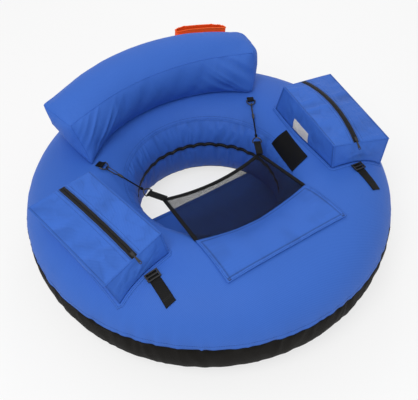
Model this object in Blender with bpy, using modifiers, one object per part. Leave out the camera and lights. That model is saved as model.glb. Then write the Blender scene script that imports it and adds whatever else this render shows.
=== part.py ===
"""A round float tube: an inflatable ring in a sewn cover, with a sling seat, a lap apron, a folding
backrest and two zipped side pockets. Metres, +Z up. The origin is on the floor under the middle of the
hole, -Y is the front with the apron, and +Y is the side of the backrest."""

from math import acos, asin, copysign, cos, degrees, hypot, pi, radians, sin, sqrt, tan

import bmesh
import bpy
from mathutils import Matrix, Vector

# Main tube: the section is a rounded oval, flattened where it rests on the ground
TUBE_MEAN_RADIUS = 0.422
TUBE_HALF_WIDTH = 0.185
TUBE_HALF_HEIGHT = 0.170
REST_HALF_WIDTH = 0.050
SECTION_POWER = 2.3
RING_STEPS = 48
OUTER_SEAM_HEIGHT = 0.198
INNER_SEAM_HEIGHT = 0.279
ZIP_LINE_HEIGHT = 0.186
LOWER_SEAM_HEIGHT = 0.062
CLOSURE_TAPE_WIDTH = 0.014
COVER_THICKNESS = 0.002
BLADDER_WALL = 0.0008

# Clearances
FIT_GAP = 0.0003
SEAM_GAP = 0.0004
BLADDER_GAP = 0.0006
LAY_GAP = 0.0022
CUT_OVERRUN = 0.006

# Slider of the closure zip, inside the hole
CLOSURE_SLIDER_LENGTH = 0.018
CLOSURE_SLIDER_WIDTH = 0.010
CLOSURE_SLIDER_HEIGHT = 0.005
CLOSURE_SLIDER_BEARING = radians(-105)
BLOCK_BEVEL_SHARE = 0.25

# Air valves: a flanged stem through the wall, and a cap that pulls off it
STEM_RADIUS = 0.009
STEM_BORE_RADIUS = 0.005
STEM_DEPTH = 0.017
STEM_NECK = 0.010
FLANGE_RADIUS = 0.0145
FLANGE_THICKNESS = 0.002
CAP_WALL = 0.0022
CAP_TOP = 0.0025
TURNED_STEPS = 16
MAIN_VALVE_BEARING = radians(-90)

# Sling seat and the strap under it
SEAT_HEIGHT = 0.058
SEAT_REAR = 0.102
SEAT_FRONT = -0.100
SEAT_THICKNESS = 0.002
STRAP_HALF_WIDTH = 0.023
STRAP_THICKNESS = 0.0015
STRAP_REAR_INSET = 0.010

# Apron: a panel on the front of the tube and a mesh behind it. An offset is from the tube's mean circle,
# outwards, and the drop is from the tube's top
APRON_HALF_WIDTH = 0.211
APRON_REAR_HALF_WIDTH = 0.203
APRON_SHIFT = -0.008
APRON_FRONT_OFFSET = 0.013
APRON_REAR_OFFSET = -0.163
APRON_REAR_BOW = 0.005
APRON_TANGENT_OFFSET = -0.122
APRON_THICKNESS = 0.002
MESH_REAR_WIDTH_OFFSET = -0.232
MESH_REAR = 0.027
MESH_REAR_BOW = 0.020
MESH_REAR_DROP = 0.054
MESH_REAR_SAG = 0.012
MESH_THICKNESS = 0.001
BINDING_RADIUS = 0.003

# Clip chain on each side, from the apron's rear corner to the backrest's lower front corner
APRON_TAB_REACH = 0.047
APRON_TAB_OVERLAP = 0.014
APRON_TAB_CLIMB_SHARE = 1.5
BACKREST_ANCHOR_INSET = 0.0294
BACKREST_ANCHOR_AHEAD = 0.0177
BACKREST_ANCHOR_LIFT = 0.01009
BACKREST_TAB_LENGTH = 0.021
TAB_HALF_WIDTH = 0.0115
TAB_HALF_THICKNESS = 0.0012
TAB_WALL = 0.0016
RING_HALF_WIDTH = 0.0155
RING_DEPTH = 0.020
RING_WIRE_RADIUS = 0.0022
RING_CLEARANCE = 0.0004
HOOK_WIRE_RADIUS = 0.0020
HOOK_NOSE_RADIUS = 0.0075
HOOK_LIP_LENGTH = 0.0055
HOOK_LEG_LENGTH = 0.028
HOOK_NECK_SHARE = 0.6
HOOK_BARREL_START = 0.041
HOOK_BARREL_LENGTH = 0.016
HOOK_BARREL_RADIUS = 0.0045
HOOK_EYE_LENGTH = 0.004
HOOK_EYE_RADIUS = 0.003
GATE_RADIUS = 0.0014
GATE_PIVOT = (0.0385, 0.0060)
CORD_RADIUS = 0.0025
KNOT_RADIUS = 0.0048
KNOT_LENGTH = 0.010
KNOT_SHARES = (0.3, 0.7, 1)

# Backrest: an inflated cushion, boxed and bent round the sitter. Each edge has the offset of its middle
# and of its end from the tube's mean circle, and the end's bearing from +X. A rise is over the tube's top
CUSHION_FRONT_BOTTOM_OFFSET = -0.101
CUSHION_FRONT_TOP_OFFSET = -0.117
CUSHION_REAR_TOP_OFFSET = 0.065
CUSHION_REAR_BOTTOM_OFFSET = 0.07
CUSHION_FRONT_BOTTOM_END_OFFSET = -0.0489
CUSHION_FRONT_BOTTOM_END_BEARING = radians(29.726)
CUSHION_FRONT_TOP_END_OFFSET = -0.00043
CUSHION_FRONT_TOP_END_BEARING = radians(33.879)
CUSHION_REAR_TOP_END_OFFSET = 0.10416
CUSHION_REAR_TOP_END_BEARING = radians(44.076)
CUSHION_REAR_BOTTOM_END_OFFSET = 0.11775
CUSHION_REAR_BOTTOM_END_BEARING = radians(51.771)
CUSHION_TOP_FRONT_RISE = 0.148
CUSHION_TOP_REAR_RISE = 0.156
CUSHION_CROWN = 0.040
CUSHION_FRONT_BULGE = 0.016
CUSHION_REAR_BULGE = 0.012
CUSHION_LEFT_BULGE = 0.008
CUSHION_RIGHT_BULGE = 0.026
CUSHION_TOP_BULGE_SHARE = 0.35
CUSHION_PANEL = 0.0015
CUSHION_BLADDER_INSET = 0.0125
CUSHION_SEAM_GAP = 0.0010
CUSHION_CELLS_ALONG = 15
CUSHION_CELLS_DEEP = 5
CUSHION_CELLS_HIGH = 3

# Orange pouch behind the backrest
POUCH_INNER_SIDE = 0.184
POUCH_OUTER_SIDE = 0.345
POUCH_DEPTH = 0.034
POUCH_BASE_HEIGHT = 0.365
POUCH_TOP_HEIGHT = 0.506
POUCH_WALL = 0.0015
POUCH_GAP = 0.0003
POUCH_FOOT_SHARE = 0.25

# Side pockets, given for the right one and mirrored for the left. Each corner has an offset from the
# tube's mean circle and a bearing from +X, and a top corner also its rise over the tube's top
POCKET_TOP_FRONT_IN_OFFSET = -0.02766
POCKET_TOP_FRONT_IN_BEARING = radians(-38.41)
POCKET_TOP_FRONT_IN_RISE = 0.079
POCKET_TOP_REAR_IN_OFFSET = -0.04799
POCKET_TOP_REAR_IN_BEARING = radians(11.881)
POCKET_TOP_REAR_IN_RISE = 0.083
POCKET_TOP_FRONT_OUT_OFFSET = 0.16121
POCKET_TOP_FRONT_OUT_BEARING = radians(-29.818)
POCKET_TOP_FRONT_OUT_RISE = 0.046
POCKET_TOP_REAR_OUT_OFFSET = 0.1538
POCKET_TOP_REAR_OUT_BEARING = radians(6.582)
POCKET_TOP_REAR_OUT_RISE = 0.059
POCKET_BASE_FRONT_IN_OFFSET = -0.02436
POCKET_BASE_FRONT_IN_BEARING = radians(-41.023)
POCKET_BASE_REAR_IN_OFFSET = -0.06765
POCKET_BASE_REAR_IN_BEARING = radians(13.879)
POCKET_BASE_FRONT_OUT_OFFSET = 0.14404
POCKET_BASE_FRONT_OUT_BEARING = radians(-32.005)
POCKET_BASE_REAR_OUT_OFFSET = 0.1236
POCKET_BASE_REAR_OUT_BEARING = radians(8.219)
POCKET_WALL = 0.0015
POCKET_LAY_GAP = 0.0027
POCKET_RIM_SHARE = 1.5
POCKET_ACROSS = 6
POCKET_ALONG = 8
POCKET_UP = 2
ZIP_TAPE_WIDTH = 0.009
ZIP_TAPE_THICKNESS = 0.001
ZIP_HALF_GAP = 0.0007
LEFT_CROWN = 0.010
RIGHT_CROWN = 0.028
LEFT_ZIP_END_SHARE = 0.47
RIGHT_ZIP_END_SHARE = 0.40
LEFT_ZIP_MIDDLE_SHARE = 0.47
RIGHT_ZIP_MIDDLE_SHARE = 0.47
SLIDER_LENGTH = 0.014
SLIDER_WIDTH = 0.009
SLIDER_HEIGHT = 0.0045
SLIDER_LIFT = 0.0007
SLIDER_END_INSET = 0.010
PULL_LENGTH = 0.030
PULL_HALF_WIDTH = 0.0042
PULL_HOLE_RADIUS = 0.0024
PULL_THICKNESS = 0.0012
PULL_HINGE_GAP = 0.0010
PULL_LEAN_SHARE = 0.06
PULL_RISE_SHARE = 0.25

# Strap and ladder buckle in front of each pocket
POCKET_STRAP_START_OFFSET = 0.05004
POCKET_STRAP_START_BEARING = radians(-37.598)
POCKET_STRAP_END_OFFSET = 0.11841
POCKET_STRAP_END_BEARING = radians(-46.5)
POCKET_STRAP_HALF_WIDTH = 0.0155
POCKET_STRAP_THICKNESS = 0.0016
BUCKLE_HALF_WIDTH = 0.0205
BUCKLE_LENGTH = 0.026
BUCKLE_THICKNESS = 0.004
BUCKLE_BAR = 0.004

# Blank tag on the tube and the fastening patch on the right pocket
TAG_REAR_UPPER_OFFSET = -0.107
TAG_REAR_UPPER_BEARING = radians(-2.9)
TAG_FRONT_UPPER_OFFSET = -0.094
TAG_FRONT_UPPER_BEARING = radians(-30.3)
TAG_REAR_LOWER_OFFSET = -0.158
TAG_REAR_LOWER_BEARING = radians(-0.5)
TAG_FRONT_LOWER_OFFSET = -0.145
TAG_FRONT_LOWER_BEARING = radians(-36.5)
TAG_THICKNESS = 0.0008
TAG_LAY_GAP = 0.0016
PATCH_THICKNESS = 0.0016
PATCH_REAR_SHARE = 0.665
PATCH_FRONT_SHARE = 0.400
PATCH_LOW_SHARE = 0.06
PATCH_HIGH_SHARE = 0.45

SIDES = (("left", -1), ("right", 1))


# Scene, collections and materials


def empty_scene():
    """Remove whatever the file holds, so the part is alone in it."""
    for thing in list(bpy.data.objects):
        bpy.data.objects.remove(thing, do_unlink=True)


def collection(name):
    group = bpy.data.collections.new(name)
    bpy.context.scene.collection.children.link(group)
    return group


def material(name, colour, roughness, metallic=0.0):
    finish = bpy.data.materials.new(name)
    finish.use_nodes = True
    shader = finish.node_tree.nodes["Principled BSDF"]
    shader.inputs["Base Color"].default_value = (*colour, 1.0)
    shader.inputs["Roughness"].default_value = roughness
    shader.inputs["Metallic"].default_value = metallic
    return finish


empty_scene()
PARTS = collection("float_tube")
CUTTERS = collection("cutters")

BLUE_FABRIC = material("blue_fabric", (0.048, 0.145, 0.545), 0.75)
BLACK_FABRIC = material("black_fabric", (0.010, 0.009, 0.008), 0.80)
ORANGE_FABRIC = material("orange_fabric", (0.910, 0.110, 0.020), 0.70)
MESH_FABRIC = material("mesh_fabric", (0.012, 0.012, 0.014), 0.85)
BLACK_WEBBING = material("black_webbing", (0.008, 0.008, 0.009), 0.70)
BLACK_PLASTIC = material("black_plastic", (0.012, 0.012, 0.013), 0.35)
ZIP_COIL = material("zip_coil", (0.010, 0.010, 0.011), 0.50)
BLADDER_FILM = material("bladder_film", (0.300, 0.320, 0.330), 0.30)
VALVE_PLASTIC = material("valve_plastic", (0.550, 0.560, 0.560), 0.40)
PATCH_FABRIC = material("patch_fabric", (0.720, 0.700, 0.660), 0.90)


def add_object(name, data, finish=None, group=PARTS):
    thing = bpy.data.objects.new(name, data)
    group.objects.link(thing)
    if finish:
        data.materials.append(finish)
    return thing


def add_mesh(name, shape, finish, group=PARTS):
    """Store a bmesh as a smooth-shaded object with sharp folds kept."""
    mesh = bpy.data.meshes.new(name)
    shape.to_mesh(mesh)
    shape.free()
    mesh.shade_smooth()
    mesh.set_sharp_from_angle(angle=radians(35))
    return add_object(name, mesh, finish, group)


def frame(origin, x_axis, y_axis):
    """A placing matrix whose third axis is the first crossed with the second."""
    first = Vector(x_axis).normalized()
    third = first.cross(Vector(y_axis)).normalized()
    second = third.cross(first)
    placed = Matrix((first, second, third)).transposed().to_4x4()
    placed.translation = Vector(origin)
    return placed


def pivot(name, origin, children):
    """An empty on a joint's axis that carries the pieces which turn or slide there."""
    hub = bpy.data.objects.new(name, None)
    hub.empty_display_size = FLANGE_RADIUS
    hub.location = Vector(origin)
    PARTS.objects.link(hub)
    inverse = Matrix.Translation(-Vector(origin))
    for child in children:
        child.parent = hub
        child.matrix_parent_inverse = inverse
    return hub


def mix(share, start, end):
    return start + (end - start) * share


def mirrored(point, side):
    return Vector((side * point[0], *point[1:]))


# Shapes shared by many pieces


def solidify(thing, thickness):
    """Give an open surface its wall, grown against its normals."""
    wall = thing.modifiers.new("wall", "SOLIDIFY")
    wall.thickness = thickness
    wall.offset = -1.0
    wall.use_even_offset = True
    return wall


def sheet(name, place, columns, rows, thickness, finish):
    """A fabric panel: a grid of shares from 0 to 1, laid by place(u, v), with a wall under it."""
    shape = bmesh.new()
    bmesh.ops.create_grid(shape, x_segments=columns, y_segments=rows, size=0.5)
    for vertex in shape.verts:
        vertex.co = place(vertex.co.x + 0.5, vertex.co.y + 0.5)
    thing = add_mesh(name, shape, finish)
    solidify(thing, thickness)
    return thing


def box_skin(counts, place, open_top):
    """The skin of a box cut into counts of cells, each vertex laid by place(u, v, w)."""
    shape = bmesh.new()
    bmesh.ops.create_cube(shape, size=1.0)
    for axis, count in enumerate(counts):
        normal = Vector((0, 0, 0))
        normal[axis] = 1
        for cut in range(1, count):
            whole = list(shape.verts) + list(shape.edges) + list(shape.faces)
            bmesh.ops.bisect_plane(shape, geom=whole, plane_co=normal * (cut / count - 0.5), plane_no=normal)
    if open_top:
        lid = [face for face in shape.faces if face.normal.z > 0.5]
        bmesh.ops.delete(shape, geom=lid, context="FACES")
    for vertex in shape.verts:
        vertex.co = place(vertex.co.x + 0.5, vertex.co.y + 0.5, vertex.co.z + 0.5)
    return shape


def turned(name, profile, finish, steps, group=PARTS):
    """A solid of revolution about Z from a closed outline of (radius, height) points."""
    area = 0
    for (r0, z0), (r1, z1) in zip(profile, profile[1:] + profile[:1]):
        area += r0 * z1 - r1 * z0
    points = profile[::-1] if area > 0 else profile
    mesh = bpy.data.meshes.new(name)
    count = len(points)
    edges = [(i, (i + 1) % count) for i in range(count)]
    mesh.from_pydata([(radius, 0, height) for radius, height in points], edges, [])
    thing = add_object(name, mesh, finish, group)
    spin = thing.modifiers.new("spin", "SCREW")
    spin.steps = steps
    spin.render_steps = steps
    spin.use_merge_vertices = True
    spin.merge_threshold = 0.0001
    spin.use_smooth_shade = True
    return thing


def wire(name, points, radius, finish, sides=2, closed=False, placed=None, radii=None):
    """A round bar along a run of points, with the radius of each point as a share of the bar's."""
    data = bpy.data.curves.new(name, "CURVE")
    data.dimensions = "3D"
    data.bevel_depth = radius
    data.bevel_resolution = sides
    data.use_fill_caps = not closed
    spline = data.splines.new("POLY")
    spline.points.add(len(points) - 1)
    spline.use_cyclic_u = closed
    for index, point in enumerate(points):
        spline.points[index].co = (*point, 1.0)
        spline.points[index].radius = radii[index] / radius if radii else 1.0
    thing = add_object(name, data, finish)
    if placed:
        thing.matrix_world = placed
    return thing


def plate(name, outlines, thickness, finish, placed):
    """A flat plate from closed outlines: the first is its edge, the others are holes in it."""
    data = bpy.data.curves.new(name, "CURVE")
    data.dimensions = "2D"
    data.fill_mode = "BOTH"
    data.extrude = thickness / 2
    for outline in outlines:
        spline = data.splines.new("POLY")
        spline.points.add(len(outline) - 1)
        spline.use_cyclic_u = True
        for index, (x, y) in enumerate(outline):
            spline.points[index].co = (x, y, 0, 1)
    thing = add_object(name, data, finish)
    thing.matrix_world = placed
    return thing


def block(name, length, width, height, bevel, finish, placed):
    """A small moulded block, centred on its frame, with rounded edges."""
    shape = bmesh.new()
    bmesh.ops.create_cube(shape, size=1.0)
    bmesh.ops.scale(shape, vec=(length, width, height), verts=shape.verts)
    thing = add_mesh(name, shape, finish)
    rounding = thing.modifiers.new("rounding", "BEVEL")
    rounding.width = bevel
    rounding.segments = 1
    thing.matrix_world = placed
    return thing


def arc(centre, radius, start, end, count):
    """Points of a flat arc, ends included."""
    angles = [mix(i / count, start, end) for i in range(count + 1)]
    return [(centre[0] + radius * cos(a), centre[1] + radius * sin(a)) for a in angles]


def cut_hole(thing, name, radius, length, placed):
    """Bore a round hole through a piece along the third axis of a frame."""
    shape = bmesh.new()
    bmesh.ops.create_cone(
        shape, cap_ends=True, segments=TURNED_STEPS, radius1=radius, radius2=radius, depth=length
    )
    cutter = add_mesh(name, shape, None, CUTTERS)
    cutter.matrix_world = placed
    cutter.hide_render = True
    cutter.display_type = "WIRE"
    bore = thing.modifiers.new("bore", "BOOLEAN")
    bore.operation = "DIFFERENCE"
    bore.solver = "EXACT"
    bore.object = cutter


# Section of the main tube


def section_point(side, angle):
    """Radius and height on the section: side is +1 outside the mean circle and -1 inside it, and angle
    runs from -90 degrees at the bottom, through 0 at half height, to 90 degrees at the top."""
    flat = REST_HALF_WIDTH if angle < 0 else 0
    across = abs(cos(angle)) ** (2 / SECTION_POWER)
    height = abs(sin(angle)) ** (2 / SECTION_POWER)
    radius = TUBE_MEAN_RADIUS + side * (flat + (TUBE_HALF_WIDTH - flat) * across)
    return Vector((radius, TUBE_HALF_HEIGHT * (1 + copysign(height, angle))))


def section_normal(side, angle):
    flat = REST_HALF_WIDTH if angle < 0 else 0
    across = abs(cos(angle)) ** (2 / SECTION_POWER)
    height = abs(sin(angle)) ** (2 / SECTION_POWER)
    outward = side * across ** (SECTION_POWER - 1) / (TUBE_HALF_WIDTH - flat)
    upward = copysign(height ** (SECTION_POWER - 1), angle) / TUBE_HALF_HEIGHT
    return Vector((outward, upward)).normalized()


def angle_at_height(height):
    share = height / TUBE_HALF_HEIGHT - 1
    return copysign(asin(abs(share) ** (SECTION_POWER / 2)), share)


def upper_angle(radius):
    """Side and angle of the upper half of the section at a radius."""
    share = min(abs(radius - TUBE_MEAN_RADIUS) / TUBE_HALF_WIDTH, 1.0)
    return copysign(1, radius - TUBE_MEAN_RADIUS), acos(share ** (SECTION_POWER / 2))


def tube_top(x, y):
    """Greatest height that the faceted tube can have over a point of the ground."""
    radius = hypot(x, y)
    if radius < TUBE_MEAN_RADIUS:
        radius = min(radius / cos(pi / RING_STEPS), TUBE_MEAN_RADIUS)
    side, angle = upper_angle(radius)
    return section_point(side, angle).y


def stations(side, start, end, count):
    return [(side, mix(i / count, start, end)) for i in range(count + 1)]


OUTER_SEAM = angle_at_height(OUTER_SEAM_HEIGHT)
INNER_SEAM = angle_at_height(INNER_SEAM_HEIGHT)
TAPE_TOP = angle_at_height(ZIP_LINE_HEIGHT + CLOSURE_TAPE_WIDTH / 2)
TAPE_FOOT = angle_at_height(ZIP_LINE_HEIGHT - CLOSURE_TAPE_WIDTH / 2)
LOWER_SEAM = angle_at_height(LOWER_SEAM_HEIGHT)

TOP_STATIONS = stations(1, OUTER_SEAM, pi / 2, 6) + stations(-1, pi / 2, INNER_SEAM, 5)[1:]
UPPER_STATIONS = stations(-1, INNER_SEAM, TAPE_TOP, 3)
TAPE_STATIONS = stations(-1, TAPE_TOP, TAPE_FOOT, 1)
LOWER_STATIONS = stations(-1, TAPE_FOOT, LOWER_SEAM, 3)
BOTTOM_STATIONS = stations(-1, LOWER_SEAM, -pi / 2, 3) + stations(1, -pi / 2, OUTER_SEAM, 5)


def wall_radius(height):
    """Least radius of the faceted inner wall at a height below the closure zip."""
    run = [section_point(*station) for station in LOWER_STATIONS + BOTTOM_STATIONS[1:]]
    for upper, lower in zip(run, run[1:]):
        if lower.y <= height <= upper.y:
            share = (height - lower.y) / (upper.y - lower.y)
            return mix(share, lower.x, upper.x) * cos(pi / RING_STEPS)
    raise ValueError("no wall at that height")


def panel_profile(run, thickness):
    """Closed outline of one cover panel: its outer line and the same line moved in by the cloth, with
    half a seam's gap left at both ends."""
    outer = [section_point(*station) for station in run]
    inner = [point - section_normal(*station) * thickness for point, station in zip(outer, run)]
    start = (outer[1] - outer[0]).normalized() * SEAM_GAP / 2
    end = (outer[-2] - outer[-1]).normalized() * SEAM_GAP / 2
    for line in (outer, inner):
        line[0] += start
        line[-1] += end
    return [tuple(point) for point in outer + inner[::-1]]


def ring_panel(name, run, finish):
    panel = turned(name, panel_profile(run, COVER_THICKNESS), finish, RING_STEPS)
    panel.rotation_euler.z = pi / RING_STEPS
    return panel


# Air valves


def valve(prefix, placed):
    """A flanged stem with its bore, along the third axis of the frame, and the cap over its neck."""
    seat = FIT_GAP
    neck_foot = seat + FLANGE_THICKNESS
    neck_top = neck_foot + STEM_NECK
    stem_outline = [
        (STEM_BORE_RADIUS, -STEM_DEPTH),
        (STEM_RADIUS, -STEM_DEPTH),
        (STEM_RADIUS, seat),
        (FLANGE_RADIUS, seat),
        (FLANGE_RADIUS, neck_foot),
        (STEM_RADIUS, neck_foot),
        (STEM_RADIUS, neck_top),
        (STEM_BORE_RADIUS, neck_top),
    ]
    inside = STEM_RADIUS + FIT_GAP
    cap_foot = neck_foot + FIT_GAP
    cap_inside = neck_top + FIT_GAP
    cap_top = cap_inside + CAP_TOP
    cap_outline = [
        (0, cap_inside),
        (inside, cap_inside),
        (inside, cap_foot),
        (inside + CAP_WALL, cap_foot),
        (inside + CAP_WALL, cap_top),
        (0, cap_top),
    ]
    stem = turned(prefix + "_stem", stem_outline, VALVE_PLASTIC, TURNED_STEPS)
    cap = turned(prefix + "_cap", cap_outline, VALVE_PLASTIC, TURNED_STEPS)
    stem.matrix_world = placed
    cap.matrix_world = placed
    return stem, cap


def facet_frame(corners, along):
    """A frame in the middle of a flat facet, its third axis square to the facet."""
    middle = sum(corners, Vector((0, 0, 0))) / len(corners)
    normal = (corners[2] - corners[0]).cross(corners[3] - corners[1]).normalized()
    return frame(middle, along, normal.cross(Vector(along)))


# Main tube: bladder, cover, closure zip and valve


def main_valve_frame():
    """The middle of the first facet under the closure zip, looking out of the wall into the hole."""
    toward = Vector((cos(MAIN_VALVE_BEARING), sin(MAIN_VALVE_BEARING), 0))
    across = Vector((-toward.y, toward.x, 0))
    flat = cos(pi / RING_STEPS)
    corners = []
    for station, slip in ((0, -1), (0, 1), (1, 1), (1, -1)):
        radius, height = section_point(*LOWER_STATIONS[station])
        place = toward * radius * flat + across * slip * radius * sin(pi / RING_STEPS)
        corners.append(place + Vector((0, 0, height)))
    return facet_frame(corners, across)


def make_bladder(valve_frame):
    """An air bladder that follows the inside of the cover, on every second corner of its section."""
    whole = TOP_STATIONS + UPPER_STATIONS[1:] + TAPE_STATIONS[1:] + LOWER_STATIONS[1:] + BOTTOM_STATIONS[1:-1]
    inset = COVER_THICKNESS + BLADDER_GAP
    outline = [tuple(section_point(*s) - section_normal(*s) * inset) for s in whole[::2]]
    bladder = turned("main_bladder", outline, BLADDER_FILM, RING_STEPS)
    bladder.rotation_euler.z = pi / RING_STEPS
    solidify(bladder, BLADDER_WALL)
    cut_hole(bladder, "bladder_bore", STEM_RADIUS + FIT_GAP, 2 * (STEM_DEPTH + CUT_OVERRUN), valve_frame)


def make_cover(valve_frame):
    ring_panel("cover_top_panel", TOP_STATIONS, BLUE_FABRIC)
    ring_panel("cover_inner_upper_panel", UPPER_STATIONS, BLUE_FABRIC)
    ring_panel("closure_zip_tape", TAPE_STATIONS, ZIP_COIL)
    lower = ring_panel("cover_inner_lower_panel", LOWER_STATIONS, BLUE_FABRIC)
    ring_panel("cover_bottom_panel", BOTTOM_STATIONS, BLACK_FABRIC)
    cut_hole(lower, "cover_bore", STEM_RADIUS + FIT_GAP, 2 * (COVER_THICKNESS + CUT_OVERRUN), valve_frame)


def make_closure_slider():
    """The slider runs round the hole, so its flat back clears the flat facets of the tape."""
    toward = Vector((cos(CLOSURE_SLIDER_BEARING), sin(CLOSURE_SLIDER_BEARING), 0))
    along = Vector((-toward.y, toward.x, 0))
    tape = section_point(*TAPE_STATIONS[0]).x * cos(pi / RING_STEPS) - FIT_GAP
    reach = min(tape, section_point(*TAPE_STATIONS[1]).x * cos(pi / RING_STEPS) - FIT_GAP)
    back = sqrt(reach**2 - (CLOSURE_SLIDER_LENGTH / 2) ** 2)
    centre = toward * (back - CLOSURE_SLIDER_HEIGHT / 2) + Vector((0, 0, ZIP_LINE_HEIGHT))
    placed = frame(centre, along, (0, 0, 1))
    size = (CLOSURE_SLIDER_LENGTH, CLOSURE_SLIDER_WIDTH, CLOSURE_SLIDER_HEIGHT)
    slider = block("closure_zip_slider", *size, CLOSURE_SLIDER_HEIGHT * BLOCK_BEVEL_SHARE, BLACK_PLASTIC, placed)
    pivot("closure_zip_axis", (0, 0, ZIP_LINE_HEIGHT), [slider])


def make_main_tube():
    valve_frame = main_valve_frame()
    make_bladder(valve_frame)
    make_cover(valve_frame)
    make_closure_slider()
    cap = valve("main_valve", valve_frame)[1]
    pivot("main_valve_cap_axis", valve_frame.translation, [cap])


# Seat and the strap under it


def seat_point(u, v):
    y = mix(v, SEAT_FRONT, SEAT_REAR)
    reach = sqrt((wall_radius(SEAT_HEIGHT) - FIT_GAP) ** 2 - y**2)
    return Vector(((2 * u - 1) * reach, y, SEAT_HEIGHT))


def seat_strap_point(u, v):
    """The strap lies under the seat and runs forward to the wall."""
    height = SEAT_HEIGHT - SEAT_THICKNESS - FIT_GAP
    reach = sqrt((wall_radius(height) - FIT_GAP) ** 2 - STRAP_HALF_WIDTH**2)
    return Vector(((2 * u - 1) * STRAP_HALF_WIDTH, mix(v, -reach, SEAT_REAR - STRAP_REAR_INSET), height))


def make_seat():
    sheet("seat_panel", seat_point, 6, 8, SEAT_THICKNESS, BLUE_FABRIC)
    sheet("seat_strap", seat_strap_point, 1, 2, STRAP_THICKNESS, BLACK_WEBBING)


# Apron panel, mesh, binding, tabs and rings

APRON_FRONT = TUBE_MEAN_RADIUS + APRON_FRONT_OFFSET
APRON_REAR = TUBE_MEAN_RADIUS + APRON_REAR_OFFSET
APRON_TANGENT_RADIUS = TUBE_MEAN_RADIUS + APRON_TANGENT_OFFSET
MESH_REAR_HALF_WIDTH = TUBE_MEAN_RADIUS + MESH_REAR_WIDTH_OFFSET
MESH_REAR_HEIGHT = 2 * TUBE_HALF_HEIGHT - MESH_REAR_DROP


def apron_lay(x, y):
    """Height of cloth laid on the tube, which leaves it on a straight line over the hole."""
    radius = hypot(x, y)
    if radius >= APRON_TANGENT_RADIUS:
        return tube_top(x, y) + LAY_GAP
    side, angle = upper_angle(APRON_TANGENT_RADIUS)
    normal = section_normal(side, angle)
    slope = -normal.x / normal.y
    return section_point(side, angle).y + LAY_GAP + slope * (radius - APRON_TANGENT_RADIUS)


def apron_panel_point(u, v):
    spread = 2 * u - 1
    x = spread * mix(v, APRON_HALF_WIDTH, APRON_REAR_HALF_WIDTH) + APRON_SHIFT
    rear = APRON_REAR + APRON_REAR_BOW * (1 - spread**2)
    y = -mix(v, APRON_FRONT, rear)
    return Vector((x, y, apron_lay(x, y) + APRON_THICKNESS))


def mesh_point(u, v):
    """The mesh runs from the panel's rear edge to its own hollow rear edge over the lap."""
    spread = 2 * u - 1
    start = apron_panel_point(u, 1) + Vector((0, FIT_GAP, 0))
    arch = 1 - spread**2
    end = Vector(
        (
            spread * MESH_REAR_HALF_WIDTH,
            -MESH_REAR - MESH_REAR_BOW * arch,
            MESH_REAR_HEIGHT - MESH_REAR_SAG * arch,
        )
    )
    return start.lerp(end, v)


def make_apron():
    sheet("apron_panel", apron_panel_point, 10, 9, APRON_THICKNESS, BLUE_FABRIC)
    inset = BINDING_RADIUS + FIT_GAP
    side_share = inset / (2 * MESH_REAR_HALF_WIDTH)
    rear_share = inset / (APRON_REAR - MESH_REAR)

    def inner_mesh(u, v):
        return mesh_point(mix(u, side_share, 1 - side_share), v * (1 - rear_share))

    mesh = sheet("apron_mesh", inner_mesh, 10, 5, MESH_THICKNESS, MESH_FABRIC)
    sink = Vector((0, 0, MESH_THICKNESS / 2))
    left_edge = [mesh_point(0, mix(i / 3, rear_share, 1)) - sink for i in range(3)]
    rear_edge = [mesh_point(i / 10, 1) - sink for i in range(11)]
    right_edge = [mesh_point(1, mix(i / 3, rear_share, 1)) - sink for i in (2, 1, 0)]
    binding = wire("apron_binding", left_edge + rear_edge + right_edge, BINDING_RADIUS, BLACK_WEBBING)
    return mesh, binding


def apron_corner(side):
    return Vector((side * MESH_REAR_HALF_WIDTH, -MESH_REAR, MESH_REAR_HEIGHT))


def backrest_anchor(side):
    """Middle of the bar of the backrest's ring, ahead of the cushion's lower front corner."""
    corner = cushion_point(1, 0, 0)
    x, y = corner.x - BACKREST_ANCHOR_INSET, corner.y - BACKREST_ANCHOR_AHEAD
    return Vector((side * x, y, tube_top(x, y) + BACKREST_ANCHOR_LIFT))


def chain_plan(side):
    """Level direction from the apron's corner to the backrest's anchor."""
    reach = backrest_anchor(side) - apron_corner(side)
    return Vector((reach.x, reach.y, 0)).normalized()


def apron_bar(side):
    """Middle of the straight bar of the apron's ring, level with its tab over the binding."""
    lift = BINDING_RADIUS + 2 * FIT_GAP + TAB_HALF_THICKNESS
    return apron_corner(side) + chain_plan(side) * APRON_TAB_REACH + Vector((0, 0, lift))


def chain_axes(side):
    """Across, along and up for the clip chain: along points from the apron to the backrest."""
    along = (backrest_anchor(side) - apron_bar(side)).normalized()
    plan = chain_plan(side)
    across = Vector((plan.y, -plan.x, 0))
    return across, along, across.cross(along)


def tab(name, bar, end, side):
    """A webbing tab from its sewn end to its rolled end, which holds the bar of a ring."""
    toward = end - bar
    bore = RING_WIRE_RADIUS + RING_CLEARANCE
    roll = bore + TAB_WALL
    start = asin(TAB_HALF_THICKNESS / roll)
    outline = arc((0, 0), roll, start, 2 * pi - start, 10)
    outline += [(toward.length, -TAB_HALF_THICKNESS), (toward.length, TAB_HALF_THICKNESS)]
    hole = arc((0, 0), bore, 0, 2 * pi * 9 / 10, 9)
    across = chain_axes(side)[0]
    up = toward.cross(across)
    if up.z < 0:
        up = -up
    return plate(name, [outline, hole], 2 * TAB_HALF_WIDTH, BLACK_WEBBING, frame(bar, toward, up))


def ring(name, bar, toward, across):
    """A D-shaped ring: a straight bar along across and a bow that reaches along toward."""
    steps = 8
    points = [(-RING_HALF_WIDTH, 0, 0), (RING_HALF_WIDTH, 0, 0)]
    for i in range(1, steps):
        turn = pi * i / steps
        points.append((RING_HALF_WIDTH * cos(turn), RING_DEPTH * sin(turn), 0))
    placed = frame(bar, across, toward)
    return wire(name, points, RING_WIRE_RADIUS, BLACK_PLASTIC, closed=True, placed=placed)


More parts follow.
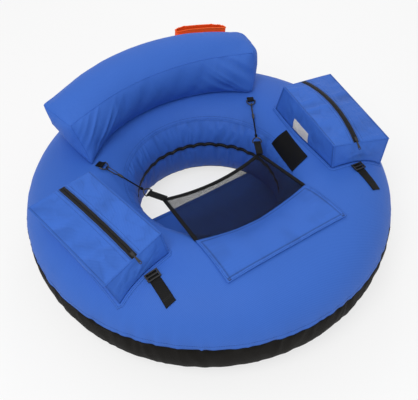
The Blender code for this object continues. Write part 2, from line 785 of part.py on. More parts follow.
def make_apron_rings(mesh, binding):
    moving = [mesh, binding]
    for word, side in SIDES:
        across, along, up = chain_axes(side)
        bar = apron_bar(side)
        end = bar - chain_plan(side) * (APRON_TAB_REACH + APRON_TAB_OVERLAP)
        climb = mesh_point((side + 1) / 2, 0).z - MESH_REAR_HEIGHT
        end.z += climb * APRON_TAB_CLIMB_SHARE * APRON_TAB_OVERLAP / (APRON_REAR - MESH_REAR)
        moving.append(tab("apron_tab_" + word, bar, end, side))
        loop = ring("apron_ring_" + word, bar, along, across)
        pivot("apron_ring_axis_" + word, bar, [loop])
    pivot("apron_lift_axis", mesh_point(0, 0).lerp(mesh_point(1, 0), 0.5), moving)


# Tabs and rings of the backrest, snap hooks, gates and cords


def make_clip(word, side):
    across, along, up = chain_axes(side)
    anchor = backrest_anchor(side)
    base = anchor + chain_plan(side) * BACKREST_TAB_LENGTH
    base.z = tube_top(base.x, base.y) + TAB_HALF_THICKNESS + LAY_GAP / 2
    tab("backrest_tab_" + word, anchor, base, side)
    loop = ring("backrest_ring_" + word, anchor, -along, across)
    pivot("backrest_ring_axis_" + word, anchor, [loop])

    bow = anchor - along * RING_DEPTH
    placed = frame(bow, -across, -along)
    nose = HOOK_NOSE_RADIUS - HOOK_WIRE_RADIUS - RING_WIRE_RADIUS - 2 * RING_CLEARANCE
    bend = arc((nose, 0), HOOK_NOSE_RADIUS, pi / 2, 3 * pi / 2, 6)
    path = [(nose + HOOK_LIP_LENGTH, HOOK_NOSE_RADIUS)] + bend
    path += [(HOOK_LEG_LENGTH, -HOOK_NOSE_RADIUS)]
    neck = mix(HOOK_NECK_SHARE, HOOK_LEG_LENGTH, HOOK_BARREL_START)
    path += [(neck, -HOOK_NOSE_RADIUS * HOOK_NECK_SHARE)]
    radii = [HOOK_WIRE_RADIUS] * len(path)
    barrel_end = HOOK_BARREL_START + HOOK_BARREL_LENGTH
    path += [(HOOK_BARREL_START, 0), (barrel_end, 0), (barrel_end + HOOK_EYE_LENGTH, 0)]
    radii += [HOOK_BARREL_RADIUS, HOOK_BARREL_RADIUS, HOOK_EYE_RADIUS]
    points = [(0, y, z) for y, z in path]
    hook = wire("snap_hook_" + word, points, HOOK_WIRE_RADIUS, BLACK_PLASTIC, placed=placed, radii=radii)

    gate_path = [GATE_PIVOT, (nose + HOOK_LIP_LENGTH + 2 * FIT_GAP, HOOK_NOSE_RADIUS)]
    gate_points = [(0, y, z) for y, z in gate_path]
    gate = wire("snap_gate_" + word, gate_points, GATE_RADIUS, BLACK_PLASTIC, placed=placed)
    pivot("snap_gate_axis_" + word, placed @ Vector((0, *GATE_PIVOT)), [gate])

    cord_start = barrel_end + HOOK_EYE_LENGTH + FIT_GAP
    span = (bow - apron_bar(side)).length - RING_DEPTH
    cord_end = span - RING_WIRE_RADIUS - FIT_GAP
    knot_start = cord_end - KNOT_LENGTH
    run = [mix(i / 4, cord_start, knot_start) for i in range(5)]
    cord_radii = [CORD_RADIUS] * len(run) + [KNOT_RADIUS, KNOT_RADIUS, CORD_RADIUS]
    run += [mix(share, knot_start, cord_end) for share in KNOT_SHARES]
    cord_points = [(0, y, 0) for y in run]
    cord_name = "tether_cord_" + word
    cord = wire(cord_name, cord_points, CORD_RADIUS, BLACK_WEBBING, placed=placed, radii=cord_radii)
    pivot("snap_hook_axis_" + word, bow, [hook, cord])


# Backrest cushion

CUSHION_CELLS = (CUSHION_CELLS_ALONG, CUSHION_CELLS_DEEP, CUSHION_CELLS_HIGH)
CUSHION_TOP_FRONT_HEIGHT = 2 * TUBE_HALF_HEIGHT + CUSHION_TOP_FRONT_RISE
CUSHION_TOP_REAR_HEIGHT = 2 * TUBE_HALF_HEIGHT + CUSHION_TOP_REAR_RISE


def cushion_edge(middle_offset, end_offset, end_bearing):
    """Depth of an edge in its middle, how far it sweeps forward to its end, and half its length."""
    depth = TUBE_MEAN_RADIUS + middle_offset
    radius = TUBE_MEAN_RADIUS + end_offset
    return depth, depth - radius * sin(end_bearing), radius * cos(end_bearing)


CUSHION_FRONT_BOTTOM, SWEEP_FRONT_BOTTOM, HALF_LENGTH_FRONT_BOTTOM = cushion_edge(
    CUSHION_FRONT_BOTTOM_OFFSET, CUSHION_FRONT_BOTTOM_END_OFFSET, CUSHION_FRONT_BOTTOM_END_BEARING
)
CUSHION_FRONT_TOP, SWEEP_FRONT_TOP, HALF_LENGTH_FRONT_TOP = cushion_edge(
    CUSHION_FRONT_TOP_OFFSET, CUSHION_FRONT_TOP_END_OFFSET, CUSHION_FRONT_TOP_END_BEARING
)
CUSHION_REAR_TOP, SWEEP_REAR_TOP, HALF_LENGTH_REAR_TOP = cushion_edge(
    CUSHION_REAR_TOP_OFFSET, CUSHION_REAR_TOP_END_OFFSET, CUSHION_REAR_TOP_END_BEARING
)
CUSHION_REAR_BOTTOM, SWEEP_REAR_BOTTOM, HALF_LENGTH_REAR_BOTTOM = cushion_edge(
    CUSHION_REAR_BOTTOM_OFFSET, CUSHION_REAR_BOTTOM_END_OFFSET, CUSHION_REAR_BOTTOM_END_BEARING
)


def corner_blend(v, w, front_bottom, front_top, rear_bottom, rear_top):
    return mix(w, mix(v, front_bottom, rear_bottom), mix(v, front_top, rear_top))


def cushion_point(u, v, w):
    """A point of the cushion: u from -1 to 1 along it, v from front to rear, w from bottom to top."""
    length = corner_blend(
        v,
        w,
        HALF_LENGTH_FRONT_BOTTOM,
        HALF_LENGTH_FRONT_TOP,
        HALF_LENGTH_REAR_BOTTOM,
        HALF_LENGTH_REAR_TOP,
    )
    depth = corner_blend(
        v, w, CUSHION_FRONT_BOTTOM, CUSHION_FRONT_TOP, CUSHION_REAR_BOTTOM, CUSHION_REAR_TOP
    )
    sweep = corner_blend(
        v, w, SWEEP_FRONT_BOTTOM, SWEEP_FRONT_TOP, SWEEP_REAR_BOTTOM, SWEEP_REAR_TOP
    )
    body = 1 - u**4
    end_bulge = CUSHION_LEFT_BULGE if u < 0 else CUSHION_RIGHT_BULGE
    fullness = mix(1 - (2 * w - 1) ** 4, CUSHION_TOP_BULGE_SHARE * w, 1)
    x = length * u + end_bulge * u**5 * (1 - (2 * v - 1) ** 4) * fullness
    y = depth - sweep * u**2
    y += mix(v, -CUSHION_FRONT_BULGE, CUSHION_REAR_BULGE) * sin(pi * w) * body
    top = mix(v, CUSHION_TOP_FRONT_HEIGHT, CUSHION_TOP_REAR_HEIGHT) + CUSHION_CROWN * sin(pi * v) * body
    return Vector((x, y, mix(w, tube_top(x, y) + LAY_GAP, top)))


def cushion_at(shares):
    return cushion_point(2 * shares[0] - 1, shares[1], shares[2])


def cushion_sizes():
    depth = CUSHION_REAR_TOP - CUSHION_FRONT_TOP
    height = CUSHION_TOP_FRONT_HEIGHT - 2 * TUBE_HALF_HEIGHT
    return HALF_LENGTH_FRONT_BOTTOM * 2, depth, height


def seam_share(edge, run, normal):
    """Share of its run that a panel stops short of an edge, so that its wall meets the wall of the panel
    round the corner with a seam's gap: the sharper the corner, the further back both stop."""
    corner = cushion_at(edge)
    sides = []
    for axis in (run, normal):
        moved = list(edge)
        moved[axis] += (1 - 2 * edge[axis]) / CUSHION_CELLS[axis]
        sides.append(cushion_at(moved) - corner)
    half = sides[0].angle(sides[1]) / 2
    margin = CUSHION_PANEL / tan(half) + CUSHION_SEAM_GAP / (2 * sin(half))
    return margin / (sides[0].length * CUSHION_CELLS[run])


def cushion_panel(name, normal, end, finish):
    """One panel of the cushion, at the low or high end of an axis: 0 is along, 1 front to rear, 2 up."""
    first, second = [axis for axis in range(3) if axis != normal]
    flip = (end == 1) == (normal == 1)

    def place(u, v):
        shares = [0.0, 0.0, 0.0]
        shares[normal] = end
        shares[first], shares[second] = 1 - u if flip else u, v
        held = list(shares)
        for run in (first, second):
            low, high = list(shares), list(shares)
            low[run], high[run] = 0, 1
            held[run] = mix(shares[run], seam_share(low, run, normal), 1 - seam_share(high, run, normal))
        return cushion_at(held)

    return sheet(name, place, CUSHION_CELLS[first], CUSHION_CELLS[second], CUSHION_PANEL, finish), place


def make_backrest():
    panels = {
        "backrest_end_left": (0, 0, BLUE_FABRIC),
        "backrest_end_right": (0, 1, BLUE_FABRIC),
        "backrest_front_panel": (1, 0, BLUE_FABRIC),
        "backrest_rear_panel": (1, 1, ORANGE_FABRIC),
        "backrest_bottom_panel": (2, 0, BLUE_FABRIC),
        "backrest_top_panel": (2, 1, BLUE_FABRIC),
    }
    built = {name: cushion_panel(name, *facing) for name, facing in panels.items()}
    moving = [panel for panel, place in built.values()]

    shares = [CUSHION_BLADDER_INSET / size for size in cushion_sizes()]

    def bladder_point(u, v, w):
        inner = [mix(value, share, 1 - share) for value, share in zip((u, v, w), shares)]
        return cushion_point(2 * inner[0] - 1, inner[1], inner[2])

    skin = box_skin(CUSHION_CELLS, bladder_point, False)
    bladder = add_mesh("backrest_bladder", skin, BLADDER_FILM)
    solidify(bladder, BLADDER_WALL)
    moving.append(bladder)

    rear_panel, rear = built["backrest_rear_panel"]
    low = [0.5 - 0.5 / CUSHION_CELLS[axis] for axis in (0, 2)]
    high = [0.5 + 0.5 / CUSHION_CELLS[axis] for axis in (0, 2)]
    corners = [rear(low[0], low[1]), rear(high[0], low[1]), rear(high[0], high[1]), rear(low[0], high[1])]
    placed = facet_frame(corners, (-1, 0, 0))
    bore_length = 2 * (STEM_DEPTH + CUT_OVERRUN)
    cut_hole(bladder, "backrest_bladder_bore", STEM_RADIUS + FIT_GAP, bore_length, placed)
    cut_hole(rear_panel, "backrest_cover_bore", STEM_RADIUS + FIT_GAP, bore_length, placed)
    stem, cap = valve("backrest_valve", placed)
    moving.append(stem)
    pivot("backrest_valve_cap_axis", placed.translation, [cap])

    def pouch_point(u, v, w):
        """The pouch stands on the rear panel, open at the top."""
        x = mix(u, POUCH_INNER_SIDE, POUCH_OUTER_SIDE)
        z = mix(w, POUCH_BASE_HEIGHT, POUCH_TOP_HEIGHT)
        level = mix(w, POUCH_FOOT_SHARE, 1)
        reach = corner_blend(
            1,
            level,
            HALF_LENGTH_FRONT_BOTTOM,
            HALF_LENGTH_FRONT_TOP,
            HALF_LENGTH_REAR_BOTTOM,
            HALF_LENGTH_REAR_TOP,
        )
        back = cushion_point(x / reach, 1, level)
        bulge = CUSHION_REAR_BULGE * (1 - sin(pi * level)) * (1 - (x / reach) ** 4)
        return Vector((x, back.y + bulge + POUCH_GAP + v * POUCH_DEPTH, z))

    pouch = add_mesh("rear_pouch", box_skin((4, 1, 2), pouch_point, True), ORANGE_FABRIC)
    solidify(pouch, POUCH_WALL)
    moving.append(pouch)
    hinge = cushion_point(1, 0, 0)
    pivot("backrest_fold_axis", (0, hinge.y, hinge.z), moving)


# Side pockets


def ring_place(offset, bearing, rise):
    """A point by its offset from the tube's mean circle, its bearing and its rise over the tube's top."""
    radius = TUBE_MEAN_RADIUS + offset
    return Vector((radius * cos(bearing), radius * sin(bearing), 2 * TUBE_HALF_HEIGHT + rise))


POCKET_TOP_FRONT_IN = ring_place(
    POCKET_TOP_FRONT_IN_OFFSET, POCKET_TOP_FRONT_IN_BEARING, POCKET_TOP_FRONT_IN_RISE
)
POCKET_TOP_REAR_IN = ring_place(
    POCKET_TOP_REAR_IN_OFFSET, POCKET_TOP_REAR_IN_BEARING, POCKET_TOP_REAR_IN_RISE
)
POCKET_TOP_FRONT_OUT = ring_place(
    POCKET_TOP_FRONT_OUT_OFFSET, POCKET_TOP_FRONT_OUT_BEARING, POCKET_TOP_FRONT_OUT_RISE
)
POCKET_TOP_REAR_OUT = ring_place(
    POCKET_TOP_REAR_OUT_OFFSET, POCKET_TOP_REAR_OUT_BEARING, POCKET_TOP_REAR_OUT_RISE
)
POCKET_BASE_FRONT_IN = ring_place(POCKET_BASE_FRONT_IN_OFFSET, POCKET_BASE_FRONT_IN_BEARING, 0)
POCKET_BASE_REAR_IN = ring_place(POCKET_BASE_REAR_IN_OFFSET, POCKET_BASE_REAR_IN_BEARING, 0)
POCKET_BASE_FRONT_OUT = ring_place(POCKET_BASE_FRONT_OUT_OFFSET, POCKET_BASE_FRONT_OUT_BEARING, 0)
POCKET_BASE_REAR_OUT = ring_place(POCKET_BASE_REAR_OUT_OFFSET, POCKET_BASE_REAR_OUT_BEARING, 0)


def pocket_corner(front, rear, v, side):
    return mirrored(front, side).lerp(mirrored(rear, side), v)


def pocket_point(u, v, w, side):
    """A point of a pocket: u from the inner to the outer wall, v from front to rear, w upward."""
    inner = pocket_corner(POCKET_TOP_FRONT_IN, POCKET_TOP_REAR_IN, v, side)
    outer = pocket_corner(POCKET_TOP_FRONT_OUT, POCKET_TOP_REAR_OUT, v, side)
    top = inner.lerp(outer, u)
    foot_in = pocket_corner(POCKET_BASE_FRONT_IN, POCKET_BASE_REAR_IN, v, side)
    foot_out = pocket_corner(POCKET_BASE_FRONT_OUT, POCKET_BASE_REAR_OUT, v, side)
    foot = foot_in.lerp(foot_out, u)
    foot.z = tube_top(foot.x, foot.y) + POCKET_LAY_GAP
    return foot.lerp(top, w)


class ZipArc:
    """The arched line of a pocket's zip: a circle through its two ends and its raised middle."""

    def __init__(self, side):
        end_share, middle_share, crown = (
            (LEFT_ZIP_END_SHARE, LEFT_ZIP_MIDDLE_SHARE, LEFT_CROWN)
            if side < 0
            else (RIGHT_ZIP_END_SHARE, RIGHT_ZIP_MIDDLE_SHARE, RIGHT_CROWN)
        )
        start = pocket_point(end_share, 0, 1, side)
        finish = pocket_point(end_share, 1, 1, side)
        middle = pocket_point(middle_share, 0.5, 1, side) + Vector((0, 0, crown))
        chord = finish - start
        rise = middle - start.lerp(finish, 0.5)
        rise -= chord * rise.dot(chord) / chord.length_squared
        half = chord.length / 2
        self.radius = (half**2 + rise.length_squared) / (2 * rise.length)
        self.centre = start.lerp(finish, 0.5) + rise.normalized() * (rise.length - self.radius)
        self.axis = chord.cross(rise).normalized()
        self.half_angle = asin(half / self.radius)
        self.outward = rise.normalized()
        self.forward = -chord.normalized()

    def turned_by(self, angle):
        """Point, outward direction and forward direction at an angle from the middle."""
        outward = self.outward * cos(angle) + self.forward * sin(angle)
        forward = self.forward * cos(angle) - self.outward * sin(angle)
        return self.centre + outward * self.radius, outward, forward

    def at(self, v):
        return self.turned_by(mix(v, self.half_angle, -self.half_angle))[0]


def make_pocket(word, side):
    arch = ZipArc(side)
    prefix = word + "_pocket_"
    top_share = 1 - POCKET_RIM_SHARE * (POCKET_WALL + FIT_GAP) / POCKET_TOP_FRONT_IN_RISE

    def body_point(u, v, w):
        return pocket_point(u if side > 0 else 1 - u, v, w * top_share, side)

    skin = box_skin((POCKET_ACROSS, POCKET_ALONG, POCKET_UP), body_point, True)
    body = add_mesh(prefix + "body", skin, BLUE_FABRIC)
    solidify(body, POCKET_WALL)

    def half_point(edge_share, near, far):
        """Lay cloth from the sewn edge, in metres from the zip line: near at the edge, far at the zip."""

        def place(u, v):
            edge = pocket_point(edge_share, v, 1, side)
            line = arch.at(v)
            toward = (line - edge).normalized()
            width = (line - edge).length
            start = width if near is None else near
            return line - toward * mix(u, start, far)

        flip = (edge_share == 0) == (side < 0)
        return (lambda u, v: place(u, 1 - v)) if flip else place

    lids = {}
    for half, edge_share in (("inner", 0), ("outer", 1)):
        cloth = half_point(edge_share, None, ZIP_TAPE_WIDTH + SEAM_GAP)
        lid = sheet(prefix + "lid_" + half, cloth, 3, POCKET_ALONG, POCKET_WALL, BLUE_FABRIC)
        strip = half_point(edge_share, ZIP_TAPE_WIDTH, ZIP_HALF_GAP)
        tape = sheet(prefix + "zip_tape_" + half, strip, 1, POCKET_ALONG, ZIP_TAPE_THICKNESS, ZIP_COIL)
        lids[half] = [lid, tape]
        front = pocket_point(edge_share, 0, 1, side)
        pivot(prefix + "lid_axis_" + half, front, lids[half])

    rest = arch.half_angle - SLIDER_END_INSET / arch.radius
    seat, outward, forward = arch.turned_by(rest)
    edge = pocket_point(1, 0, 1, side) - pocket_point(0, 0, 1, side)
    up = forward.cross(edge).normalized()
    if up.z < 0:
        up = -up
    centre = seat + up * (SLIDER_LIFT + SLIDER_HEIGHT / 2)
    placed = frame(centre, forward, up.cross(forward))
    bevel = SLIDER_HEIGHT * BLOCK_BEVEL_SHARE
    slider = block(
        prefix + "zip_slider", SLIDER_LENGTH, SLIDER_WIDTH, SLIDER_HEIGHT, bevel, BLACK_PLASTIC, placed
    )
    pivot(prefix + "zip_axis", arch.centre, [slider])

    hinge = centre + forward * (SLIDER_LENGTH / 2 + PULL_HINGE_GAP) + up * SLIDER_HEIGHT * PULL_RISE_SHARE
    lean = forward - up * PULL_LEAN_SHARE
    body_end = PULL_LENGTH - PULL_HALF_WIDTH
    outline = [(-PULL_THICKNESS / 2, -PULL_HALF_WIDTH / 2)]
    outline += arc((body_end, 0), PULL_HALF_WIDTH, -pi / 2, pi / 2, 6)
    outline += [(-PULL_THICKNESS / 2, PULL_HALF_WIDTH / 2)]
    hole = arc((body_end, 0), PULL_HOLE_RADIUS, 0, 2 * pi * 7 / 8, 7)
    pull = plate(
        prefix + "zip_pull",
        [outline, hole],
        PULL_THICKNESS,
        BLACK_PLASTIC,
        frame(hinge, lean, up.cross(forward)),
    )
    pivot(prefix + "pull_axis", hinge, [pull])
    return arch


POCKET_STRAP_START = ring_place(POCKET_STRAP_START_OFFSET, POCKET_STRAP_START_BEARING, 0)
POCKET_STRAP_END = ring_place(POCKET_STRAP_END_OFFSET, POCKET_STRAP_END_BEARING, 0)


def pocket_strap_point(side):
    start = mirrored(POCKET_STRAP_START, side)
    end = mirrored(POCKET_STRAP_END, side)
    along = (end - start).normalized()
    across = Vector((-along.y, along.x, 0))

    def place(u, v):
        point = start.lerp(end, v) + across * (1 - 2 * u) * POCKET_STRAP_HALF_WIDTH
        point.z = tube_top(point.x, point.y) + LAY_GAP / 2 + POCKET_STRAP_THICKNESS
        return point

    return place


def make_pocket_strap(word, side):
    place = pocket_strap_point(side)
    sheet(word + "_pocket_strap", place, 1, 6, POCKET_STRAP_THICKNESS, BLACK_WEBBING)
    near = place(0.5, 0)
    far = place(0.5, BUCKLE_LENGTH / (POCKET_STRAP_END - POCKET_STRAP_START).length)
    along = (far - near).normalized()
    up = along.cross(place(0, 0) - place(1, 0)).normalized()
    if up.z < 0:
        up = -up
    origin = near + up * (BUCKLE_THICKNESS / 2 + LAY_GAP / 2)
    half = BUCKLE_HALF_WIDTH
    outline = [(0, -half), (BUCKLE_LENGTH, -half), (BUCKLE_LENGTH, half), (0, half)]
    slot = (BUCKLE_LENGTH - 3 * BUCKLE_BAR) / 2
    inner = half - BUCKLE_BAR
    holes = []
    for start in (BUCKLE_BAR, 2 * BUCKLE_BAR + slot):
        end = start + slot
        holes.append([(start, -inner), (end, -inner), (end, inner), (start, inner)])
    placed = frame(origin, along, up.cross(along))
    buckle = plate(word + "_pocket_buckle", [outline, *holes], BUCKLE_THICKNESS, BLACK_PLASTIC, placed)
    pivot(word + "_pocket_buckle_axis", origin, [buckle])


# Blank tag and fastening patch


def tag_point(u, v):
    """The tag lies on the tube's inner shoulder beside the right pocket."""
    low = mix(u, TAG_FRONT_LOWER_OFFSET, TAG_REAR_LOWER_OFFSET)
    high = mix(u, TAG_FRONT_UPPER_OFFSET, TAG_REAR_UPPER_OFFSET)
    radius = TUBE_MEAN_RADIUS + mix(v, low, high)
    low = mix(u, TAG_FRONT_LOWER_BEARING, TAG_REAR_LOWER_BEARING)
    high = mix(u, TAG_FRONT_UPPER_BEARING, TAG_REAR_UPPER_BEARING)
    bearing = mix(v, low, high)
    side, angle = upper_angle(radius)
    normal = section_normal(side, angle)
    place = section_point(side, angle) + normal * (TAG_LAY_GAP + TAG_THICKNESS)
    return Vector((place.x * cos(bearing), place.x * sin(bearing), place.y))


def patch_point(u, v):
    """The patch is sewn on the inner wall of the right pocket."""
    along = mix(u, PATCH_REAR_SHARE, PATCH_FRONT_SHARE)
    upward = mix(v, PATCH_LOW_SHARE, PATCH_HIGH_SHARE)
    point = pocket_point(0, along, upward, 1)
    return point - Vector((FIT_GAP + PATCH_THICKNESS, 0, 0))


def make_labels():
    sheet("blank_tag", lambda u, v: tag_point(1 - u, v), 5, 4, TAG_THICKNESS, BLACK_FABRIC)
    sheet("hook_loop_patch", patch_point, 2, 1, PATCH_THICKNESS, PATCH_FABRIC)


def build():
    make_main_tube()
    make_seat()
    mesh, binding = make_apron()
    make_apron_rings(mesh, binding)
    make_backrest()
    arches = {}
    for word, side in SIDES:
        make_clip(word, side)
        arches[word] = make_pocket(word, side)
        make_pocket_strap(word, side)
    make_labels()
    return arches


ARCHES = build()
for ZIP_NAME, ZIP in ARCHES.items():
    print(ZIP_NAME, "zip arc radius", round(ZIP.radius, 4), "half angle", round(degrees(ZIP.half_angle), 2))
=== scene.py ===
# %% [markdown]
# A round float tube, dressed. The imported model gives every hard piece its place. This lesson lays the
# cloth over it: a sewn cover round an air ring, a sling seat, a lap apron of open mesh, an inflated
# backrest, two zipped pockets, and the small straps and cords between them.

# %% Load the frame
from math import acos, asin, copysign, cos, hypot, pi, radians, sin, sqrt

import bpy
import numpy as np
from mathutils import Matrix, Vector
from mathutils.bvhtree import BVHTree


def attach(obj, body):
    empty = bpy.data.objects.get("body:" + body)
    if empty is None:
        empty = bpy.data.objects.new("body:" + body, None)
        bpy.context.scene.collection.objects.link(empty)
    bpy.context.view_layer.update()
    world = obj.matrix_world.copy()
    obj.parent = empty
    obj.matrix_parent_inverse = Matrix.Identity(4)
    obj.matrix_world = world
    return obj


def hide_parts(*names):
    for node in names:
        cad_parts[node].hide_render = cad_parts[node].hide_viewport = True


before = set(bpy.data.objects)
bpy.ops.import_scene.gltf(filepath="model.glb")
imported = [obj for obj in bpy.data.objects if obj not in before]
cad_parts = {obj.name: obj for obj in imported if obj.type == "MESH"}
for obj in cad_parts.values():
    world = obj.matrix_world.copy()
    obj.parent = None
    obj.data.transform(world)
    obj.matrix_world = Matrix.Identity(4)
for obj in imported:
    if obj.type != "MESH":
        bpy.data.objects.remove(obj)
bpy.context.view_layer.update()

TURN = 2 * pi


def add_object(name, data):
    """An object that holds a mesh, curve, lamp or camera, linked in the scene."""
    thing = bpy.data.objects.new(name, data)
    bpy.context.scene.collection.objects.link(thing)
    return thing


def new_mesh(name, corners, faces, *finishes):
    mesh = bpy.data.meshes.new(name)
    mesh.from_pydata(corners, [], faces)
    for finish in finishes:
        mesh.materials.append(finish)
    return mesh


# %% [markdown]
# The camera looks down on the tube from its front left, from about standing height. Its direction,
# distance and lens were found by matching the seams of the tube, so they are written as numbers here. The
# rotation is built from three axes, because a small roll is easier to read that way than in Euler angles.

# %% Camera
VIEW_BEARING = radians(-32.016)
VIEW_ELEVATION = radians(46.26)
VIEW_ROLL = radians(-1.691)
VIEW_DISTANCE = 2.003
VIEW_TARGET = Vector((0, 0, 0.1977))
VIEW_SENSOR, VIEW_LENS = 36, 50.62
VIEW_SHIFT = (0.0015, -0.0268)

back = Vector(
    (
        sin(VIEW_BEARING) * cos(VIEW_ELEVATION),
        -cos(VIEW_BEARING) * cos(VIEW_ELEVATION),
        sin(VIEW_ELEVATION),
    )
)
level = Vector((cos(VIEW_BEARING), sin(VIEW_BEARING), 0))
upright = back.cross(level)
right = level * cos(VIEW_ROLL) + upright * sin(VIEW_ROLL)
top_edge = upright * cos(VIEW_ROLL) - level * sin(VIEW_ROLL)

lens = bpy.data.cameras.new("studio_camera")
lens.sensor_width, lens.lens = VIEW_SENSOR, VIEW_LENS
lens.shift_x, lens.shift_y = VIEW_SHIFT
camera = add_object("studio_camera", lens)
camera.matrix_world = Matrix((right, top_edge, back)).transposed().to_4x4()
camera.location = VIEW_TARGET + back * VIEW_DISTANCE
bpy.context.scene.camera = camera
bpy.context.scene.view_settings.view_transform = "Standard"
print("camera stands at", [round(c, 3) for c in camera.location])

# %% [markdown]
# Materials are trees of nodes. A few functions build them: one makes a node and fills its sockets, and the
# others are the small steps that come back in every tree.

# %% Helpers for node trees


def feed(tree, sockets, values):
    """Fill sockets by name or number: a plain value is set, another socket is linked."""
    for label, value in values.items():
        if isinstance(value, bpy.types.NodeSocket):
            tree.links.new(value, sockets[label])
        else:
            sockets[label].default_value = value


def add_node(tree, kind, values=None, **fields):
    """A shader node with its own fields set and its inputs filled."""
    node = tree.nodes.new("ShaderNode" + kind)
    for field, value in fields.items():
        setattr(node, field, value)
    feed(tree, node.inputs, values or {})
    return node


def new_group(name, inputs, outputs):
    """A node group from the values of its inputs and the kinds of its outputs."""
    group = bpy.data.node_groups.new(name, "ShaderNodeTree")
    for label, value in inputs.items():
        kind = "NodeSocketColor" if isinstance(value, tuple) else "NodeSocketFloat"
        group.interface.new_socket(label, in_out="INPUT", socket_type=kind).default_value = value
    for label, kind in outputs.items():
        group.interface.new_socket(label, in_out="OUTPUT", socket_type=kind)
    return group, group.nodes.new("NodeGroupInput").outputs, group.nodes.new("NodeGroupOutput").inputs


def new_material(name):
    finish = bpy.data.materials.new(name)
    finish.use_nodes = True
    return finish, finish.node_tree, finish.node_tree.nodes["Principled BSDF"]


def place_group(tree, group, **values):
    return add_node(tree, "Group", values, node_tree=group).outputs


def maths(tree, operation, *values):
    """A Math node fed with numbers or sockets, giving its output socket."""
    return add_node(tree, "Math", dict(enumerate(values)), operation=operation).outputs[0]


def mix_colours(tree, share, first, second, mode="MIX"):
    values = {0: share, 6: first, 7: second}
    return add_node(tree, "Mix", values, data_type="RGBA", blend_type=mode).outputs[2]


def shaded(tree, colour, factor):
    """A colour made paler or darker by a factor."""
    spread = add_node(tree, "CombineXYZ", {axis: factor for axis in range(3)})
    return mix_colours(tree, 1.0, colour, spread.outputs[0], "MULTIPLY")


def ranged(tree, value, low, high, start=0.0, end=1.0):
    """A value that runs from start to end, carried over to low and high."""
    values = {"Value": value, "From Min": start, "From Max": end, "To Min": low, "To Max": high}
    return add_node(tree, "MapRange", values).outputs["Result"]


def noise(tree, scale, **values):
    """Random values over the object, about 0.5."""
    place = add_node(tree, "TexCoord").outputs["Object"]
    return add_node(tree, "TexNoise", {"Vector": place, "Scale": scale, **values}).outputs["Fac"]


def flat_axes(tree):
    """The cloth's own flat coordinates in metres, as sockets X and Y."""
    return add_node(tree, "SeparateXYZ", {0: add_node(tree, "TexCoord").outputs["UV"]}).outputs


def seen_rays(tree):
    """1 for rays of the camera, of mirrors and through glass, 0 for those that light a surface."""
    rays = add_node(tree, "LightPath").outputs
    seen = maths(tree, "MAXIMUM", rays["Is Camera Ray"], rays["Is Glossy Ray"])
    return maths(tree, "MAXIMUM", seen, rays["Is Transmission Ray"])


# %% [markdown]
# A soft room: a pale floor that keeps the shadow, one broad lamp over the front left, a weaker one from
# the back right, and an even sky. Camera and mirror rays see the sky as white, and the cloth is lit by a
# calmer grey, so a colour renders about as it is written.

# %% Floor, sky and lamps
SKY_LEVEL = 0.62
FLOOR_TONE = 0.93
FLOOR_GLOW = 0.70
FLOOR_REACH = 12


def build_sky():
    world = bpy.data.worlds.new("studio_sky")
    world.use_nodes = True
    tree = world.node_tree
    tree.nodes.clear()
    strength = ranged(tree, seen_rays(tree), SKY_LEVEL, 1.0)
    sky = add_node(tree, "Background", {"Color": (1, 1, 1, 1), "Strength": strength})
    add_node(tree, "OutputWorld", {"Surface": sky.outputs[0]})
    bpy.context.scene.world = world


def lamp(name, place, size, power):
    light = bpy.data.lights.new(name, "AREA")
    light.shape = "DISK"
    light.size = size
    light.energy = power
    thing = add_object(name, light)
    thing.location = place
    thing.rotation_euler = (VIEW_TARGET - Vector(place)).to_track_quat("-Z", "Y").to_euler()


def build_floor():
    paint, tree, shader = new_material("pale_floor")
    tone = (FLOOR_TONE, FLOOR_TONE, FLOOR_TONE, 1)
    feed(tree, shader.inputs, {"Base Color": tone, "Roughness": 0.9, "Specular IOR Level": 0.1})
    share = maths(tree, "MULTIPLY", seen_rays(tree), FLOOR_GLOW)
    glow = add_node(tree, "Emission").outputs[0]
    blend = add_node(tree, "MixShader", {0: share, 1: shader.outputs[0], 2: glow})
    feed(tree, tree.nodes["Material Output"].inputs, {"Surface": blend.outputs[0]})
    corners = [(x * FLOOR_REACH, y * FLOOR_REACH, 0) for x, y in ((-1, -1), (1, -1), (1, 1), (-1, 1))]
    return add_object("floor", new_mesh("floor", corners, [(0, 1, 2, 3)], paint))


build_sky()
lamp("broad_lamp", (-1.6, -1.2, 3.2), 1.8, 52)
lamp("rear_lamp", (1.9, 2.2, 2.6), 1.4, 14)
build_floor()
print("floor and two lamps are set")

# %% [markdown]
# Every cloth here shows its weave, soft uneven dye, and painted light and shade on its folds: a painted
# highlight on their ridges, and painted shade in their valleys and along seams. Those are three effects that
# all the cloths share, so each is a node group with its own inputs, placed in a material with that cloth's
# values. They read the cloth's own flat coordinates, in metres, so the weave follows every panel.

# %% Weave, dye and fold groups
COLOUR, NUMBER = "NodeSocketColor", "NodeSocketFloat"
SPECK_SCALE = 420
# How far painted shade darkens cloth at a seam, and the least of a colour that painted shade leaves.
SEAM_TONE, DARKEST = -0.35, 0.05


